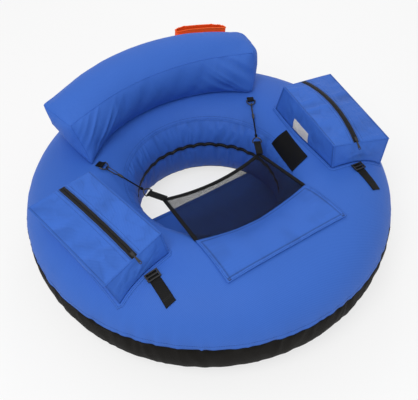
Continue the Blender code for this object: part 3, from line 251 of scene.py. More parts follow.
def make_weave():
    """Over-and-under threads with a diagonal step, as a colour and a height."""
    group, given, result = new_group(
        "weave",
        {"Ground": (0.1, 0.1, 0.1, 1), "Thread": (0.2, 0.2, 0.2, 1), "Pitch": 0.001, "Twill": 0.5},
        {"Colour": COLOUR, "Height": NUMBER},
    )
    flat = flat_axes(group)
    turns = maths(group, "DIVIDE", TURN, given["Pitch"])
    along, across = [maths(group, "MULTIPLY", flat[axis], turns) for axis in "XY"]
    plain = maths(group, "MULTIPLY", maths(group, "SINE", along), maths(group, "SINE", across))
    slope = maths(group, "MULTIPLY", maths(group, "ADD", along, across), 0.25)
    twill = maths(group, "MULTIPLY", maths(group, "SINE", slope), given["Twill"])
    both = maths(group, "ADD", maths(group, "MULTIPLY", plain, 0.5), twill)
    height = maths(group, "ADD", maths(group, "MULTIPLY", both, 0.5), 0.5)
    colour = mix_colours(group, height, given["Ground"], given["Thread"])
    feed(group, result, {"Colour": colour, "Height": height})
    return group


def make_uneven_dye():
    """Broad soft patches and fine specks, as a factor about 1."""
    group, given, result = new_group(
        "uneven_dye", {"Amount": 0.1, "Scale": 6.0}, {"Factor": NUMBER, "Grain": NUMBER}
    )
    swing = maths(group, "SUBTRACT", noise(group, given["Scale"], Detail=3), 0.5)
    grain = noise(group, SPECK_SCALE)
    specks = maths(group, "MULTIPLY", maths(group, "SUBTRACT", grain, 0.5), 0.5)
    change = maths(group, "MULTIPLY", maths(group, "ADD", swing, specks), given["Amount"])
    feed(group, result, {"Factor": maths(group, "ADD", change, 1.0), "Grain": grain})
    return group


def make_fold_shading():
    """Painted highlight on the ridges of folds, painted shade in their valleys and along seams."""
    group, given, result = new_group(
        "fold_shading", {"Colour": (0.5, 0.5, 0.5, 1), "Ridge": 0.04, "Valley": 0.22}, {"Colour": COLOUR}
    )
    labels = ("fold", "seam")
    fold, seam = [add_node(group, "Attribute", attribute_name=label).outputs["Fac"] for label in labels]
    # Painted highlight on fold ridges and painted shade in fold valleys.
    rise = maths(group, "MULTIPLY", maths(group, "MAXIMUM", fold, 0.0), given["Ridge"])
    dip = maths(group, "MULTIPLY", maths(group, "MINIMUM", fold, 0.0), given["Valley"])
    # Painted shade along seams.
    seam_shade = maths(group, "MULTIPLY", seam, SEAM_TONE)
    total = maths(group, "ADD", maths(group, "ADD", rise, dip), seam_shade)
    factor = maths(group, "MAXIMUM", maths(group, "ADD", total, 1.0), DARKEST)
    feed(group, result, {"Colour": shaded(group, given["Colour"], factor)})
    return group


WEAVE = make_weave()
UNEVEN_DYE = make_uneven_dye()
FOLD_SHADING = make_fold_shading()
print("three shared effects:", WEAVE.name, UNEVEN_DYE.name, FOLD_SHADING.name)

# %% [markdown]
# The cover is a coated nylon in a bright blue, with a satin sheen on its folds. The base is the same cloth in
# black, the pouch is bright orange, and the straps are thick ribbed webbing. One function builds them all
# and takes the colours, the pitch of the weave and the gloss. The bump is a fraction of a millimetre.

# %% Cloth materials
GLOSS_SWING, WEAVE_STRENGTH = 0.08, 0.7


def cloth(name, ground, thread, pitch, roughness, sheen=0.05, twill=0.5, dye=0.08, relief=0.0003, shine=0.2):
    finish, tree, shader = new_material(name)
    woven = place_group(tree, WEAVE, Ground=(*ground, 1), Thread=(*thread, 1), Pitch=pitch, Twill=twill)
    # Painted highlight on fold ridges, painted shade in fold valleys and along seams.
    fold_shaded = place_group(tree, FOLD_SHADING, Colour=woven["Colour"])
    dyed = place_group(tree, UNEVEN_DYE, Amount=dye)
    bump = add_node(tree, "Bump", {"Distance": relief, "Strength": WEAVE_STRENGTH, "Height": woven["Height"]})
    values = {
        "Base Color": shaded(tree, fold_shaded["Colour"], dyed["Factor"]),
        "Roughness": ranged(tree, dyed["Grain"], roughness - GLOSS_SWING, roughness + GLOSS_SWING),
        "Normal": bump.outputs["Normal"],
        "Sheen Weight": sheen,
        "Sheen Roughness": 0.4,
        "Sheen Tint": (*thread, 1),
        "Specular IOR Level": shine,
    }
    feed(tree, shader.inputs, values)
    return finish


BLUE_CLOTH = cloth("blue_cover_cloth", (0.032, 0.120, 0.505), (0.050, 0.160, 0.590), 0.0015, 0.60)
BLACK_CLOTH = cloth(
    "black_base_cloth", (0.0040, 0.0034, 0.0028), (0.0090, 0.0075, 0.0060), 0.0015, 0.7, sheen=0, shine=0.08
)
ORANGE_CLOTH = cloth("orange_pouch_cloth", (0.880, 0.095, 0.012), (1.000, 0.150, 0.026), 0.0015, 0.60)
WEBBING = cloth(
    "ribbed_webbing", (0.003, 0.003, 0.003), (0.009, 0.009, 0.0095), 0.0016, 0.62,
    sheen=0.02, twill=0.9, relief=0.0004, shine=0.12,
)
ZIP_CLOTH = cloth("zip_tape_cloth", (0.006, 0.006, 0.006), (0.013, 0.013, 0.014), 0.0016, 0.7, sheen=0.1)
TAG_CLOTH = cloth(
    "satin_tag_cloth", (0.004, 0.004, 0.004), (0.007, 0.007, 0.007), 0.0012, 0.5,
    sheen=0, twill=0.2, shine=0.08,
)
LOOP_PILE = cloth(
    "loop_pile", (0.56, 0.54, 0.50), (0.82, 0.80, 0.76), 0.0034, 0.9,
    sheen=0.5, twill=0.1, dye=0.30, relief=0.0012,
)
BLUE_THREAD = cloth("blue_thread", (0.006, 0.022, 0.120), (0.012, 0.040, 0.200), 0.001, 0.6)
BLACK_THREAD = cloth("black_thread", (0.006, 0.006, 0.006), (0.020, 0.020, 0.021), 0.001, 0.6)
print("cloths:", BLUE_CLOTH.name, BLACK_CLOTH.name, ORANGE_CLOTH.name, WEBBING.name, LOOP_PILE.name)

# %% [markdown]
# The apron's mesh is a knitted net with holes of about a millimetre. Cutting the holes in the surface would
# take millions of faces, so the net is one sheet whose alpha is a pattern: threads that cross at an angle are
# solid, and what lies between them is open.

# %% Net material


def make_net(name, colour, pitch, hole_share):
    finish, tree, shader = new_material(name)
    flat = flat_axes(tree)
    threads = []
    for slant in ("ADD", "SUBTRACT"):
        turns = maths(tree, "MULTIPLY", maths(tree, slant, flat["X"], flat["Y"]), pi / pitch)
        threads.append(maths(tree, "ABSOLUTE", maths(tree, "SINE", turns)))
    dyed = place_group(tree, UNEVEN_DYE, Amount=0.3)
    # Painted highlight on fold ridges, painted shade in fold valleys and along seams.
    fold_shaded = place_group(tree, FOLD_SHADING, Colour=shaded(tree, (*colour, 1), dyed["Factor"]))
    values = {
        "Alpha": maths(tree, "LESS_THAN", maths(tree, "MINIMUM", *threads), hole_share),
        "Base Color": fold_shaded["Colour"],
        "Roughness": 0.8,
        "Specular IOR Level": 0.1,
    }
    feed(tree, shader.inputs, values)
    return finish


NET = make_net("open_net", (0.006, 0.006, 0.007), 0.0019, 0.68)

# %% [markdown]
# Rings, hooks, sliders and buckles are moulded in black, the valves in light grey. Moulded plastic has no
# weave, but it is never one flat tone: a fine grain breaks its gloss, and scattered fine specks are paler,
# like rubbed wear. The hooks and rings are satin metal under black lacquer, so they are glossier.

# %% Moulded materials


def make_moulded(name, colour, worn_colour, roughness, coat=0.0, speck=900.0):
    finish, tree, shader = new_material(name)
    dyed = place_group(tree, UNEVEN_DYE, Amount=0.4, Scale=speck / 15)
    grain = noise(tree, speck)
    rubbed = ranged(tree, grain, 0.0, 1.0, start=0.58, end=0.75)
    bump = add_node(tree, "Bump", {"Distance": 0.00008, "Height": grain})
    values = {
        "Base Color": mix_colours(tree, rubbed, (*colour, 1), (*worn_colour, 1)),
        "Roughness": ranged(tree, dyed["Factor"], roughness - 0.08, roughness + 0.10, start=0.7, end=1.3),
        "Normal": bump.outputs["Normal"],
        "Coat Weight": coat,
    }
    feed(tree, shader.inputs, values)
    return finish


BLACK_MOULDING = make_moulded("moulded_black", (0.006, 0.006, 0.0065), (0.020, 0.020, 0.021), 0.42)
BLACK_LACQUER = make_moulded("lacquered_wire", (0.006, 0.006, 0.007), (0.030, 0.030, 0.032), 0.30, coat=0.2)
VALVE_MOULDING = make_moulded("valve_moulding", (0.55, 0.56, 0.56), (0.68, 0.69, 0.69), 0.40)
BLADDER_SHEET = make_moulded("bladder_sheet", (0.30, 0.32, 0.33), (0.36, 0.38, 0.39), 0.30, speck=60.0)
ZIP_TEETH = make_moulded("zip_teeth", (0.007, 0.007, 0.008), (0.040, 0.040, 0.042), 0.34)

for node_name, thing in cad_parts.items():
    if "valve" in node_name:
        finish = VALVE_MOULDING
    elif "ring" in node_name or "snap" in node_name:
        finish = BLACK_LACQUER
    else:
        finish = BLACK_MOULDING
    for slot_index in range(len(thing.data.materials)):
        thing.data.materials[slot_index] = finish
print("hard pieces are finished")

# %% [markdown]
# The ring's section is a rounded oval: flat where it rests, full everywhere else. These few functions give a
# point of it, and the height of cloth that lies on it. They are the same as the ones that made the solids,
# so each piece of cloth sits where its solid is.

# %% Section of the ring
RING_RADIUS = 0.422
RING_HALF_WIDTH = 0.185
RING_HALF_HEIGHT = 0.170
REST_HALF_WIDTH = 0.050
SECTION_POWER = 2.3
RING_FACETS = 48
LAY_GAP = 0.0022
FIT_GAP = 0.0003


def section(side, angle):
    """Radius and height: side is 1 outside the mean circle and -1 inside, angle runs from foot to top."""
    flat = np.where(np.asarray(angle) < 0, REST_HALF_WIDTH, 0.0)
    across = np.abs(np.cos(angle)) ** (2 / SECTION_POWER)
    height = np.abs(np.sin(angle)) ** (2 / SECTION_POWER)
    radius = RING_RADIUS + side * (flat + (RING_HALF_WIDTH - flat) * across)
    return radius, RING_HALF_HEIGHT * (1 + np.sign(angle) * height)


def angle_at_height(height):
    share = height / RING_HALF_HEIGHT - 1
    return copysign(asin(abs(share) ** (SECTION_POWER / 2)), share)


def upper_angle(radius):
    share = min(abs(radius - RING_RADIUS) / RING_HALF_WIDTH, 1.0)
    return copysign(1, radius - RING_RADIUS), acos(share ** (SECTION_POWER / 2))


def tube_top(x, y):
    radius = hypot(x, y)
    if radius < RING_RADIUS:
        radius = min(radius / cos(pi / RING_FACETS), RING_RADIUS)
    return float(section(*upper_angle(radius))[1])


OUTER_SEAM = angle_at_height(0.198)
INNER_SEAM = angle_at_height(0.279)
TAPE_TOP = angle_at_height(0.194)
TAPE_FOOT = angle_at_height(0.178)
LOWER_SEAM = angle_at_height(0.046)
print("outer seam at", round(float(section(1, OUTER_SEAM)[0]), 4), "m from the middle")

# %% [markdown]
# All cloth starts as a grid of points laid by a rule, and its folds are heights added along its normals.
# The height of each point over the plain surface is stored with it, so that the material knows a ridge
# from a valley. The random part comes from a fixed table, so every run makes the same folds.

# %% Helpers for cloth surfaces
RANDOM = np.random.default_rng(11).random((12, 211, 61))


def mix(share, start, end):
    return start + (end - start) * share


def turned(radius, height, bearing):
    """Points round the middle of the ring."""
    return np.stack([radius * np.cos(bearing), radius * np.sin(bearing), height + 0 * radius], -1)


def from_edge(share):
    """How far a share lies from 0 or 1, whichever is nearer."""
    return np.minimum(share, 1 - share)


def ridge_at(distance, width):
    """1 where the distance is 0, falling off on both sides."""
    return np.exp(-(distance**2) / width**2)


def soft_noise(a, b, layer, period=211):
    """Smooth random values from -1 to 1; the first coordinate repeats after period."""
    a, b = np.broadcast_arrays(np.asarray(a, float), np.asarray(b, float))
    i, j = np.floor(a).astype(int), np.floor(b).astype(int)
    f, g = a - i, b - j
    f, g = f * f * (3 - 2 * f), g * g * (3 - 2 * g)
    table = RANDOM[layer]
    low = table[i % period, j % 61] * (1 - f) + table[(i + 1) % period, j % 61] * f
    high = table[i % period, (j + 1) % 61] * (1 - f) + table[(i + 1) % period, (j + 1) % 61] * f
    return (low * (1 - g) + high * g) * 2 - 1


def creases(a, b, layer, period=211):
    """Sharp ridges with broad valleys, the shape of folded cloth, from -1 to 1."""
    return 1 - 2 * np.abs(soft_noise(a, b, layer, period)) ** 0.8


def facets(a, b, layer):
    """Straight creases of stiff cloth: flat facets, with a crease wherever the value passes zero."""
    a, b = np.broadcast_arrays(np.asarray(a, float), np.asarray(b, float))
    i, j = np.floor(a).astype(int), np.floor(b).astype(int)
    nearest = []
    for table in (layer, layer + 1):
        best = np.full(a.shape, 9.0)
        for di in (-1, 0, 1):
            for dj in (-1, 0, 1):
                column, row = (i + di) % 211, (j + dj) % 61
                x = i + di + RANDOM[table % 12, column, row]
                y = j + dj + RANDOM[(table + 5) % 12, column, row]
                best = np.minimum(best, (a - x) ** 2 + (b - y) ** 2)
        nearest.append(best)
    return nearest[1] - nearest[0]


def surface(place, columns, rows):
    us, vs = np.linspace(0, 1, columns + 1), np.linspace(0, 1, rows + 1)
    return np.array([[tuple(place(u, v)) for u in us] for v in vs])


def laid(place, columns, rows):
    """The points of a sheet laid by place(u, v), and their shares u and v."""
    u, v = np.meshgrid(np.linspace(0, 1, columns + 1), np.linspace(0, 1, rows + 1))
    return surface(place, columns, rows), u, v


def normals_of(points, closed=False):
    if closed:
        along = np.roll(points, -1, 1) - np.roll(points, 1, 1)
    else:
        along = np.gradient(points, axis=1)
    square = np.cross(along, np.gradient(points, axis=0))
    return square / np.maximum(np.linalg.norm(square, axis=2, keepdims=True), 1e-12)


def facing_up(points):
    """1 if the middle of a sheet faces up, -1 if it faces down."""
    rows, columns = points.shape[:2]
    return 1 if normals_of(points)[rows // 2, columns // 2, 2] > 0 else -1


def raised(points, height, closed=False):
    return points + normals_of(points, closed) * height[..., None]


def lengths(points, axis):
    step = np.linalg.norm(np.diff(points, axis=axis), axis=2)
    middle = np.take(step, step.shape[1 - axis] // 2, axis=1 - axis)
    return np.concatenate([[0], np.cumsum(middle)])


def cloth_piece(name, points, finish, height=None, seam=None, closed=False, flip=False, wall=0.0):
    """A mesh from a grid of points, with its flat size in metres as UVs, and its folds and seams stored."""
    rows, columns = points.shape[:2]
    index = np.arange(rows * columns).reshape(rows, columns)
    if closed:
        index = np.hstack([index, index[:, :1]])
    quads = np.stack([index[:-1, :-1], index[:-1, 1:], index[1:, 1:], index[1:, :-1]], -1).reshape(-1, 4)
    wide, tall = index.shape[1], rows
    across = lengths(points, 1)
    if closed:
        across = np.concatenate([across, [across[-1] + across[1]]])
    flat = np.stack(np.meshgrid(across, lengths(points, 0)), -1)
    corners = np.arange(wide * tall).reshape(tall, wide)
    loops = np.stack([corners[:-1, :-1], corners[:-1, 1:], corners[1:, 1:], corners[1:, :-1]], -1)
    loops = loops.reshape(-1, 4)
    if flip:
        quads, loops = quads[:, ::-1], loops[:, ::-1]
    mesh = new_mesh(name, points.reshape(-1, 3).tolist(), quads.tolist(), finish)
    layer = mesh.uv_layers.new(name="flat")
    layer.data.foreach_set("uv", flat.reshape(-1, 2)[loops.reshape(-1)].ravel())
    for label, values in (("fold", height), ("seam", seam)):
        values = np.zeros((rows, columns)) if values is None else values
        attribute = mesh.attributes.new(label, "FLOAT", "POINT")
        attribute.data.foreach_set("value", values.astype(np.float32).ravel())
    mesh.shade_smooth()
    thing = add_object(name, mesh)
    if wall:
        thickness = thing.modifiers.new("cloth_wall", "SOLIDIFY")
        thickness.thickness = wall
        thickness.offset = -1
    return thing


def settle(piece, body, *nodes):
    """The piece rides on a body and stands for nodes, which are hidden."""
    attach(piece, body)
    if nodes:
        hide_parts(*nodes)
    return piece


def carried(piece, carrier):
    """A small piece that goes with a larger one."""
    piece.parent = carrier
    return piece


# %% [markdown]
# Seams are where cloth is believed or not. A sewn seam is a slight ridge with a row of stitches beside it.
# Both are laid on the finished surface by dropping each point of a path on it, so they follow its folds. The
# stitches are real small dashes of thread.

# %% Helpers for seams and stitches
SEAM_RADIUS, STOUT_SEAM_RADIUS = 0.0014, 0.0016
# Length, width and height of a stitch, how far apart stitches start, and how much their tops narrow.
STITCH, STITCH_PITCH, STITCH_TAPER = (0.0030, 0.0010, 0.0006), 0.0045, 0.55


def tree_of(piece):
    mesh = piece.data
    corners = [tuple(vertex.co) for vertex in mesh.vertices]
    return BVHTree.FromPolygons(corners, [tuple(face.vertices) for face in mesh.polygons])


def spaced(path, step):
    """Points and directions at even steps along a path."""
    path = np.array([tuple(point) for point in path])
    run = np.concatenate([[0], np.cumsum(np.linalg.norm(np.diff(path, axis=0), axis=1))])
    count = max(int(run[-1] / step), 1)
    at = (np.arange(count) + 0.5) * run[-1] / count
    points = np.stack([np.interp(at, run, path[:, axis]) for axis in range(3)], -1)
    ahead = np.stack([np.interp(at + step / 3, run, path[:, axis]) for axis in range(3)], -1)
    behind = np.stack([np.interp(at - step / 3, run, path[:, axis]) for axis in range(3)], -1)
    return points, ahead - behind


def dashes(name, carrier, paths, finish, pitch=STITCH_PITCH, size=STITCH, lift=0.0002):
    """Rows of small blocks, such as stitches or teeth, laid on a carrier along paths."""
    tree = tree_of(carrier)
    corners, faces = [], []
    unit = [(x, y, z) for x in (-0.5, 0.5) for y in (-0.5, 0.5) for z in (-0.5, 0.5)]
    sides = [(0, 1, 3, 2), (4, 6, 7, 5), (0, 4, 5, 1), (2, 3, 7, 6), (0, 2, 6, 4), (1, 5, 7, 3)]
    for path in paths:
        for point, ahead in zip(*spaced(path, pitch)):
            place, normal, face, gap = tree.find_nearest(Vector(point))
            if normal.dot(Vector(point) - place) < 0 and gap > 1e-5:
                normal = -normal
            along = Vector(ahead).normalized()
            side = normal.cross(along).normalized()
            start = len(corners)
            for x, y, z in unit:
                taper = STITCH_TAPER if z > 0 else 1.0
                level_step = along * x * size[0] * taper + side * y * size[1] * taper
                corners.append(tuple(place + (level_step + normal * (z * size[2] + lift))))
            faces += [tuple(start + k for k in side_faces) for side_faces in sides]
    return carried(add_object(name, new_mesh(name, corners, faces, finish)), carrier)


def seam_ridge(name, carrier, path, radius, finish, closed=False, sink=0.3, tree=None):
    """A low rounded ridge along a path on a carrier."""
    tree = tree or tree_of(carrier)
    data = bpy.data.curves.new(name, "CURVE")
    data.dimensions = "3D"
    data.bevel_depth = 1
    data.bevel_resolution = 2
    data.use_fill_caps = not closed
    spline = data.splines.new("POLY")
    spline.points.add(len(path) - 1)
    spline.use_cyclic_u = closed
    for index, point in enumerate(path):
        place, normal = tree.find_nearest(Vector(point))[:2]
        spline.points[index].co = (*(place - normal * radius * sink), 1)
        spline.points[index].radius = radius
    data.materials.append(finish)
    return carried(add_object(name, data), carrier)


# %% [markdown]
# Each clip chain ends in a short cord. It starts at the eye of the snap hook, runs straight to the apron's
# ring and is tied there, so it is taut. A braid is a tube whose skin is pressed into strands, and a knot is
# a few turns of the same cord wound round it.

# %% Where the clip chains run
PANEL_HALF_WIDTH, PANEL_REAR_HALF_WIDTH, PANEL_SHIFT = 0.211, 0.203, -0.008
PANEL_FRONT, PANEL_REAR, PANEL_REAR_BOW = 0.435, 0.259, 0.005
PANEL_LEAVES_TUBE = 0.300
PANEL_THICKNESS = 0.002
NET_REAR_HALF_WIDTH, NET_REAR, NET_REAR_BOW = 0.190, 0.027, 0.020
NET_REAR_HEIGHT, NET_REAR_SAG = 0.286, 0.012
BINDING_RADIUS = 0.003
TAB_REACH, TAB_OVERLAP, TAB_HALF_THICKNESS = 0.047, 0.014, 0.0012
BACKREST_TAB_LENGTH = 0.021
KNOT_BACK, KNOT_LENGTH, KNOT_STRAND = 0.006, 0.0075, 0.0015
BACKREST_ANCHOR = Vector((0.2946, 0.1673, 0.338))
RING_DEPTH, RING_WIRE_RADIUS = 0.020, 0.0022
CORD_START, CORD_RADIUS = 0.0613, 0.0025
SIDES = (("left", -1), ("right", 1))


def net_corner(side):
    return Vector((side * NET_REAR_HALF_WIDTH, -NET_REAR, NET_REAR_HEIGHT))


def anchor(side):
    return Vector((side * BACKREST_ANCHOR.x, BACKREST_ANCHOR.y, BACKREST_ANCHOR.z))


def chain_level(side):
    reach_between = anchor(side) - net_corner(side)
    return Vector((reach_between.x, reach_between.y, 0)).normalized()


def apron_bar(side):
    lift = BINDING_RADIUS + 2 * FIT_GAP + TAB_HALF_THICKNESS
    return net_corner(side) + chain_level(side) * TAB_REACH + Vector((0, 0, lift))


def chain_along(side):
    return (anchor(side) - apron_bar(side)).normalized()


# %% Tether cords and their knots


def tube_round(name, path, radius_at, sides, finish):
    """A closed tube of rings round a path, each ring's radius given by radius_at(step, turn)."""
    path = [Vector(point) for point in path]
    corners, faces = [], []
    for step, point in enumerate(path):
        ahead = (path[min(step + 1, len(path) - 1)] - path[max(step - 1, 0)]).normalized()
        side = ahead.cross(Vector((0, 0, 1))).normalized()
        lift = side.cross(ahead)
        for k in range(sides):
            turn = TURN * k / sides
            corners.append(point + (side * cos(turn) + lift * sin(turn)) * radius_at(step, turn))
        for k in range(sides if step else 0):
            a, b = (step - 1) * sides + k, (step - 1) * sides + (k + 1) % sides
            faces.append((a, b, b + sides, a + sides))
    faces.append(tuple(range(sides))[::-1])
    faces.append(tuple(len(corners) - sides + k for k in range(sides)))
    mesh = new_mesh(name, [tuple(c) for c in corners], faces, finish)
    mesh.shade_smooth()
    mesh.uv_layers.new(name="flat")
    return add_object(name, mesh)


def make_cord(word, side):
    along = -chain_along(side)
    bow = anchor(side) + along * RING_DEPTH
    end = (bow - apron_bar(side)).length - RING_DEPTH - RING_WIRE_RADIUS - FIT_GAP
    run = np.linspace(CORD_START, end, 60)
    path = [bow + along * float(s) for s in run]

    def strands(step, turn):
        twist = 3 * turn + run[step] * 1500
        return CORD_RADIUS * (0.94 + 0.06 * cos(twist))

    braid = tube_round("braided_cord_" + word, path, strands, 18, WEBBING)
    knot_middle = bow + along * (end - KNOT_BACK)
    side_way = along.cross(Vector((0, 0, 1))).normalized()
    lift = side_way.cross(along)
    turns = []
    for k in range(64):
        share = k / 63
        angle = share * 3 * TURN
        wide = 0.0030 + 0.0004 * sin(share * pi)
        across = side_way * cos(angle) * wide + lift * sin(angle) * wide
        turns.append(knot_middle + along * (share - 0.5) * KNOT_LENGTH + across)
    knot = tube_round("cord_knot_" + word, turns, lambda step, turn: KNOT_STRAND, 8, WEBBING)
    body = "snap_hook_" + word
    settle(braid, body, "tether_cord_" + word)
    settle(knot, body)
    tuple(path[0])
    [tuple(point) for point in path]
    print(word, "cord is", round(float(end - CORD_START), 4), "m long")


for word, side in SIDES:
    make_cord(word, side)

# %% [markdown]
# The cover of the ring is five bands of cloth sewn edge to edge. The air inside pulls the broad top band
# smooth, so it only puckers close to its seams. The inner wall has more cloth than it needs and stands in
# upright gathers above and below its black zip, which wanders a little. Each seam has one row of puckers that
# the bands on both of its sides share, so the bands stay joined.

# %% Cover of the ring
COLUMNS = 576
THETA = np.linspace(0, TURN, COLUMNS, endpoint=False)
ROUND = THETA / TURN
# Folds die away within this distance of a seam, and the cloth beside it gets painted shade.
SEAM_CALM = 0.012
SEAM_SHADE_IN, SEAM_SHADE_WIDTH = 0.0015, 0.0022


def puckers(count, layer, size):
    """The shared line of puckers of one seam, in metres, round the whole ring."""
    fine = creases(ROUND * count, 0, layer, count)
    broad = soft_noise(ROUND * (count // 3), 3, layer, count // 3)
    return size * (0.6 * fine + 0.5 * broad - 0.2)


OUTER_PUCKERS = puckers(180, 0, 0.0034)
INNER_PUCKERS = puckers(120, 1, 0.0016)
# The slider runs round on this seam, so its puckers only draw back, all the way round.
ZIP_PUCKERS = np.minimum(puckers(90, 2, 0.0020), 0) - 0.0010
LOWER_PUCKERS = puckers(90, 3, 0.0016)
ZIP_WAVE = 0.014 * soft_noise(ROUND * 24, 0, 4, 24) + 0.026 * (np.abs(np.sin(pi * 36 * ROUND)) - 0.6)


def band(name, side, angle, start, end, reach, inner, finish):
    """One band of the cover: rows of sides and angles, the puckers of both its seams, and inner relief."""
    radius, height = section(side, angle)
    points = turned(radius, height, THETA)
    steps = np.linalg.norm(np.diff(points, axis=0), axis=2).mean(1)
    from_start = np.concatenate([[0], np.cumsum(steps)])[:, None]
    to_end = from_start[-1] - from_start
    relief = start * np.exp(-from_start / reach) + end * np.exp(-to_end / reach)
    share = from_start / from_start[-1]
    calm = np.clip(from_start / SEAM_CALM, 0, 1) * np.clip(to_end / SEAM_CALM, 0, 1)
    relief = relief + inner(share, from_start) * calm
    seam = sum(ridge_at(run - SEAM_SHADE_IN, SEAM_SHADE_WIDTH) for run in (from_start, to_end))
    fold = np.clip(relief / 0.004, -1, 1)
    return cloth_piece(name, raised(points, relief, True), finish, fold, seam + 0 * fold, closed=True)


def top_relief(share, run):
    slow = soft_noise(ROUND * 14, share * 3, 6, 14)
    ripple = creases(ROUND * 75, share * 2.2, 7, 75) * np.exp(-run / 0.05)
    return 0.0009 * slow + 0.0012 * ripple


def gathers(count, layer, size):
    def relief(share, run):
        drift = 0.6 * soft_noise(ROUND * 20, share * 2, 8, 20)
        deep = creases(ROUND * count + drift, share * 1.3, layer, count)
        fine = soft_noise(ROUND * (2 * count), share * 2, layer + 1, 2 * count)
        return size * (0.8 * deep + 0.35 * fine)

    return relief


rise = np.linspace(OUTER_SEAM, pi - INNER_SEAM, 64)[:, None] + 0 * THETA
cover_top = band(
    "cover_top_cloth",
    np.where(rise < pi / 2, 1, -1),
    np.where(rise < pi / 2, rise, pi - rise),
    OUTER_PUCKERS,
    INNER_PUCKERS,
    0.016,
    top_relief,
    BLUE_CLOTH,
)
tape_top = TAPE_TOP + ZIP_WAVE
tape_foot = TAPE_FOOT + ZIP_WAVE
share_up = np.linspace(0, 1, 22)[:, None]
upper_rows = mix(share_up, INNER_SEAM, tape_top)
cover_upper = band(
    "inner_wall_upper_cloth", -1, upper_rows, INNER_PUCKERS, ZIP_PUCKERS, 0.014,
    gathers(96, 1, 0.0024), BLUE_CLOTH,
)
lower_rows = mix(share_up, tape_foot, LOWER_SEAM)
cover_lower = band(
    "inner_wall_lower_cloth", -1, lower_rows, ZIP_PUCKERS, LOWER_PUCKERS, 0.014,
    gathers(84, 3, 0.0024), BLUE_CLOTH,
)
zip_rows = mix(np.linspace(0, 1, 7)[:, None], tape_top, tape_foot)
zip_band = band(
    "closure_zip_cloth", -1, zip_rows, ZIP_PUCKERS, ZIP_PUCKERS, 0.02, lambda share, run: 0 * ROUND, ZIP_CLOTH
)
down = np.linspace(LOWER_SEAM, -pi / 2, 16)[:, None] + 0 * THETA
out = np.linspace(-pi / 2, OUTER_SEAM, 34)[:, None] + 0 * THETA
cover_base = band(
    "cover_base_cloth",
    np.concatenate([-1 + 0 * down, 1 + 0 * out]),
    np.concatenate([down, out]),
    LOWER_PUCKERS,
    OUTER_PUCKERS,
    0.020,
    lambda share, run: 0.0030 * creases(ROUND * 150, share * 4, 9, 150) * share**3,
    BLACK_CLOTH,
)
cover = {
    "cover_top_panel": cover_top,
    "cover_inner_upper_panel": cover_upper,
    "cover_inner_lower_panel": cover_lower,
    "closure_zip_tape": zip_band,
    "cover_bottom_panel": cover_base,
}
for node, piece in cover.items():
    settle(piece, "tube", node)
print("cover:", sum(len(piece.data.vertices) for piece in cover.values()), "points")

# %% Seams of the cover


def ring_path(side, angle, count=288):
    angle = np.broadcast_to(angle, THETA.shape)
    picks = np.linspace(0, COLUMNS, count, endpoint=False).astype(int)
    radius, height = section(side, angle[picks])
    return turned(radius, height, THETA[picks])


def closed_path(path):
    return np.concatenate([path, path[:1]])


outer_line = ring_path(1, OUTER_SEAM, 576)
seam_ridge("outer_seam", cover_top, outer_line, STOUT_SEAM_RADIUS, BLACK_CLOTH, True)
stitch_line = closed_path(ring_path(1, OUTER_SEAM + 0.09, 576))
dashes("outer_seam_stitches", cover_top, [stitch_line], BLUE_THREAD)
inner_line = ring_path(-1, INNER_SEAM)
seam_ridge("inner_seam", cover_top, inner_line, SEAM_RADIUS, BLUE_CLOTH, True)
dashes("inner_seam_stitches", cover_top, [closed_path(ring_path(-1, INNER_SEAM + 0.07))], BLUE_THREAD)
zip_line = closed_path(ring_path(-1, (tape_top + tape_foot) / 2, 576))
tooth = (0.0016, 0.0052, 0.0016)
dashes("closure_zip_teeth", zip_band, [zip_line], ZIP_TEETH, pitch=0.0026, size=tooth, lift=0.0004)
lower_line = ring_path(-1, LOWER_SEAM)
seam_ridge("lower_seam", cover_base, lower_line, SEAM_RADIUS, BLACK_CLOTH, True)

JOIN_BEARING = radians(-79.5)
join_radius, join_height = section(1, np.linspace(-pi / 2, OUTER_SEAM, 40))
join_line = turned(join_radius, join_height, JOIN_BEARING)
seam_ridge("base_join_seam", cover_base, join_line, SEAM_RADIUS, BLACK_CLOTH)
print("seams of the cover are sewn")

# %% [markdown]
# Inside the cover lies the air bladder, a welded film tube. Nothing of it shows, but it is there when the
# zip is opened, so it gets its own surface, just inside the cloth, with a weld round its inner side.

# %% Main bladder
FILM_INSET = 0.0075
phi = np.linspace(0, TURN, 40)[:, None] + 0 * THETA[None, ::4]
film_side = np.where(np.cos(phi) > 0, 1, -1)
film_angle = np.arcsin(np.clip(np.sin(phi), -1, 1))
film_radius, film_height = section(film_side, film_angle)
film = turned(film_radius, film_height, THETA[::4])
weld = 0.0012 * ridge_at(phi - pi, 0.03)
film = raised(film, weld - FILM_INSET, True)
main_bladder = cloth_piece("main_bladder_film", film, BLADDER_SHEET, closed=True)
settle(main_bladder, "tube", "main_bladder")

# %% [markdown]
# The seat is a sling of the cover's cloth across the hole, sewn to the ring's wall at its two ends. It sags a
# little and its free edges are hemmed. A strap runs forward under it.

# %% Sling seat and its strap
SEAT_HEIGHT, SEAT_REAR, SEAT_FRONT = 0.058, 0.102, -0.100
# Its front edge bows forward, and its ends run a little into the wall that they are sewn to.
SEAT_BOW, SEAT_INTO_WALL, SEAT_SAG = 0.015, 0.0015, 0.006
SEAT_HEM = 0.06
SEAT_STRAP_HALF_WIDTH, SEAT_STRAP_REAR = 0.023, 0.092
# How thick cloth, thin cloth and webbing are.
CLOTH_WALL, THIN_WALL, TAPE_WALL = 0.0012, 0.0008, 0.0014


def wall_radius(height):
    angle = angle_at_height(height)
    return float(section(-1, angle)[0]) * cos(pi / RING_FACETS)


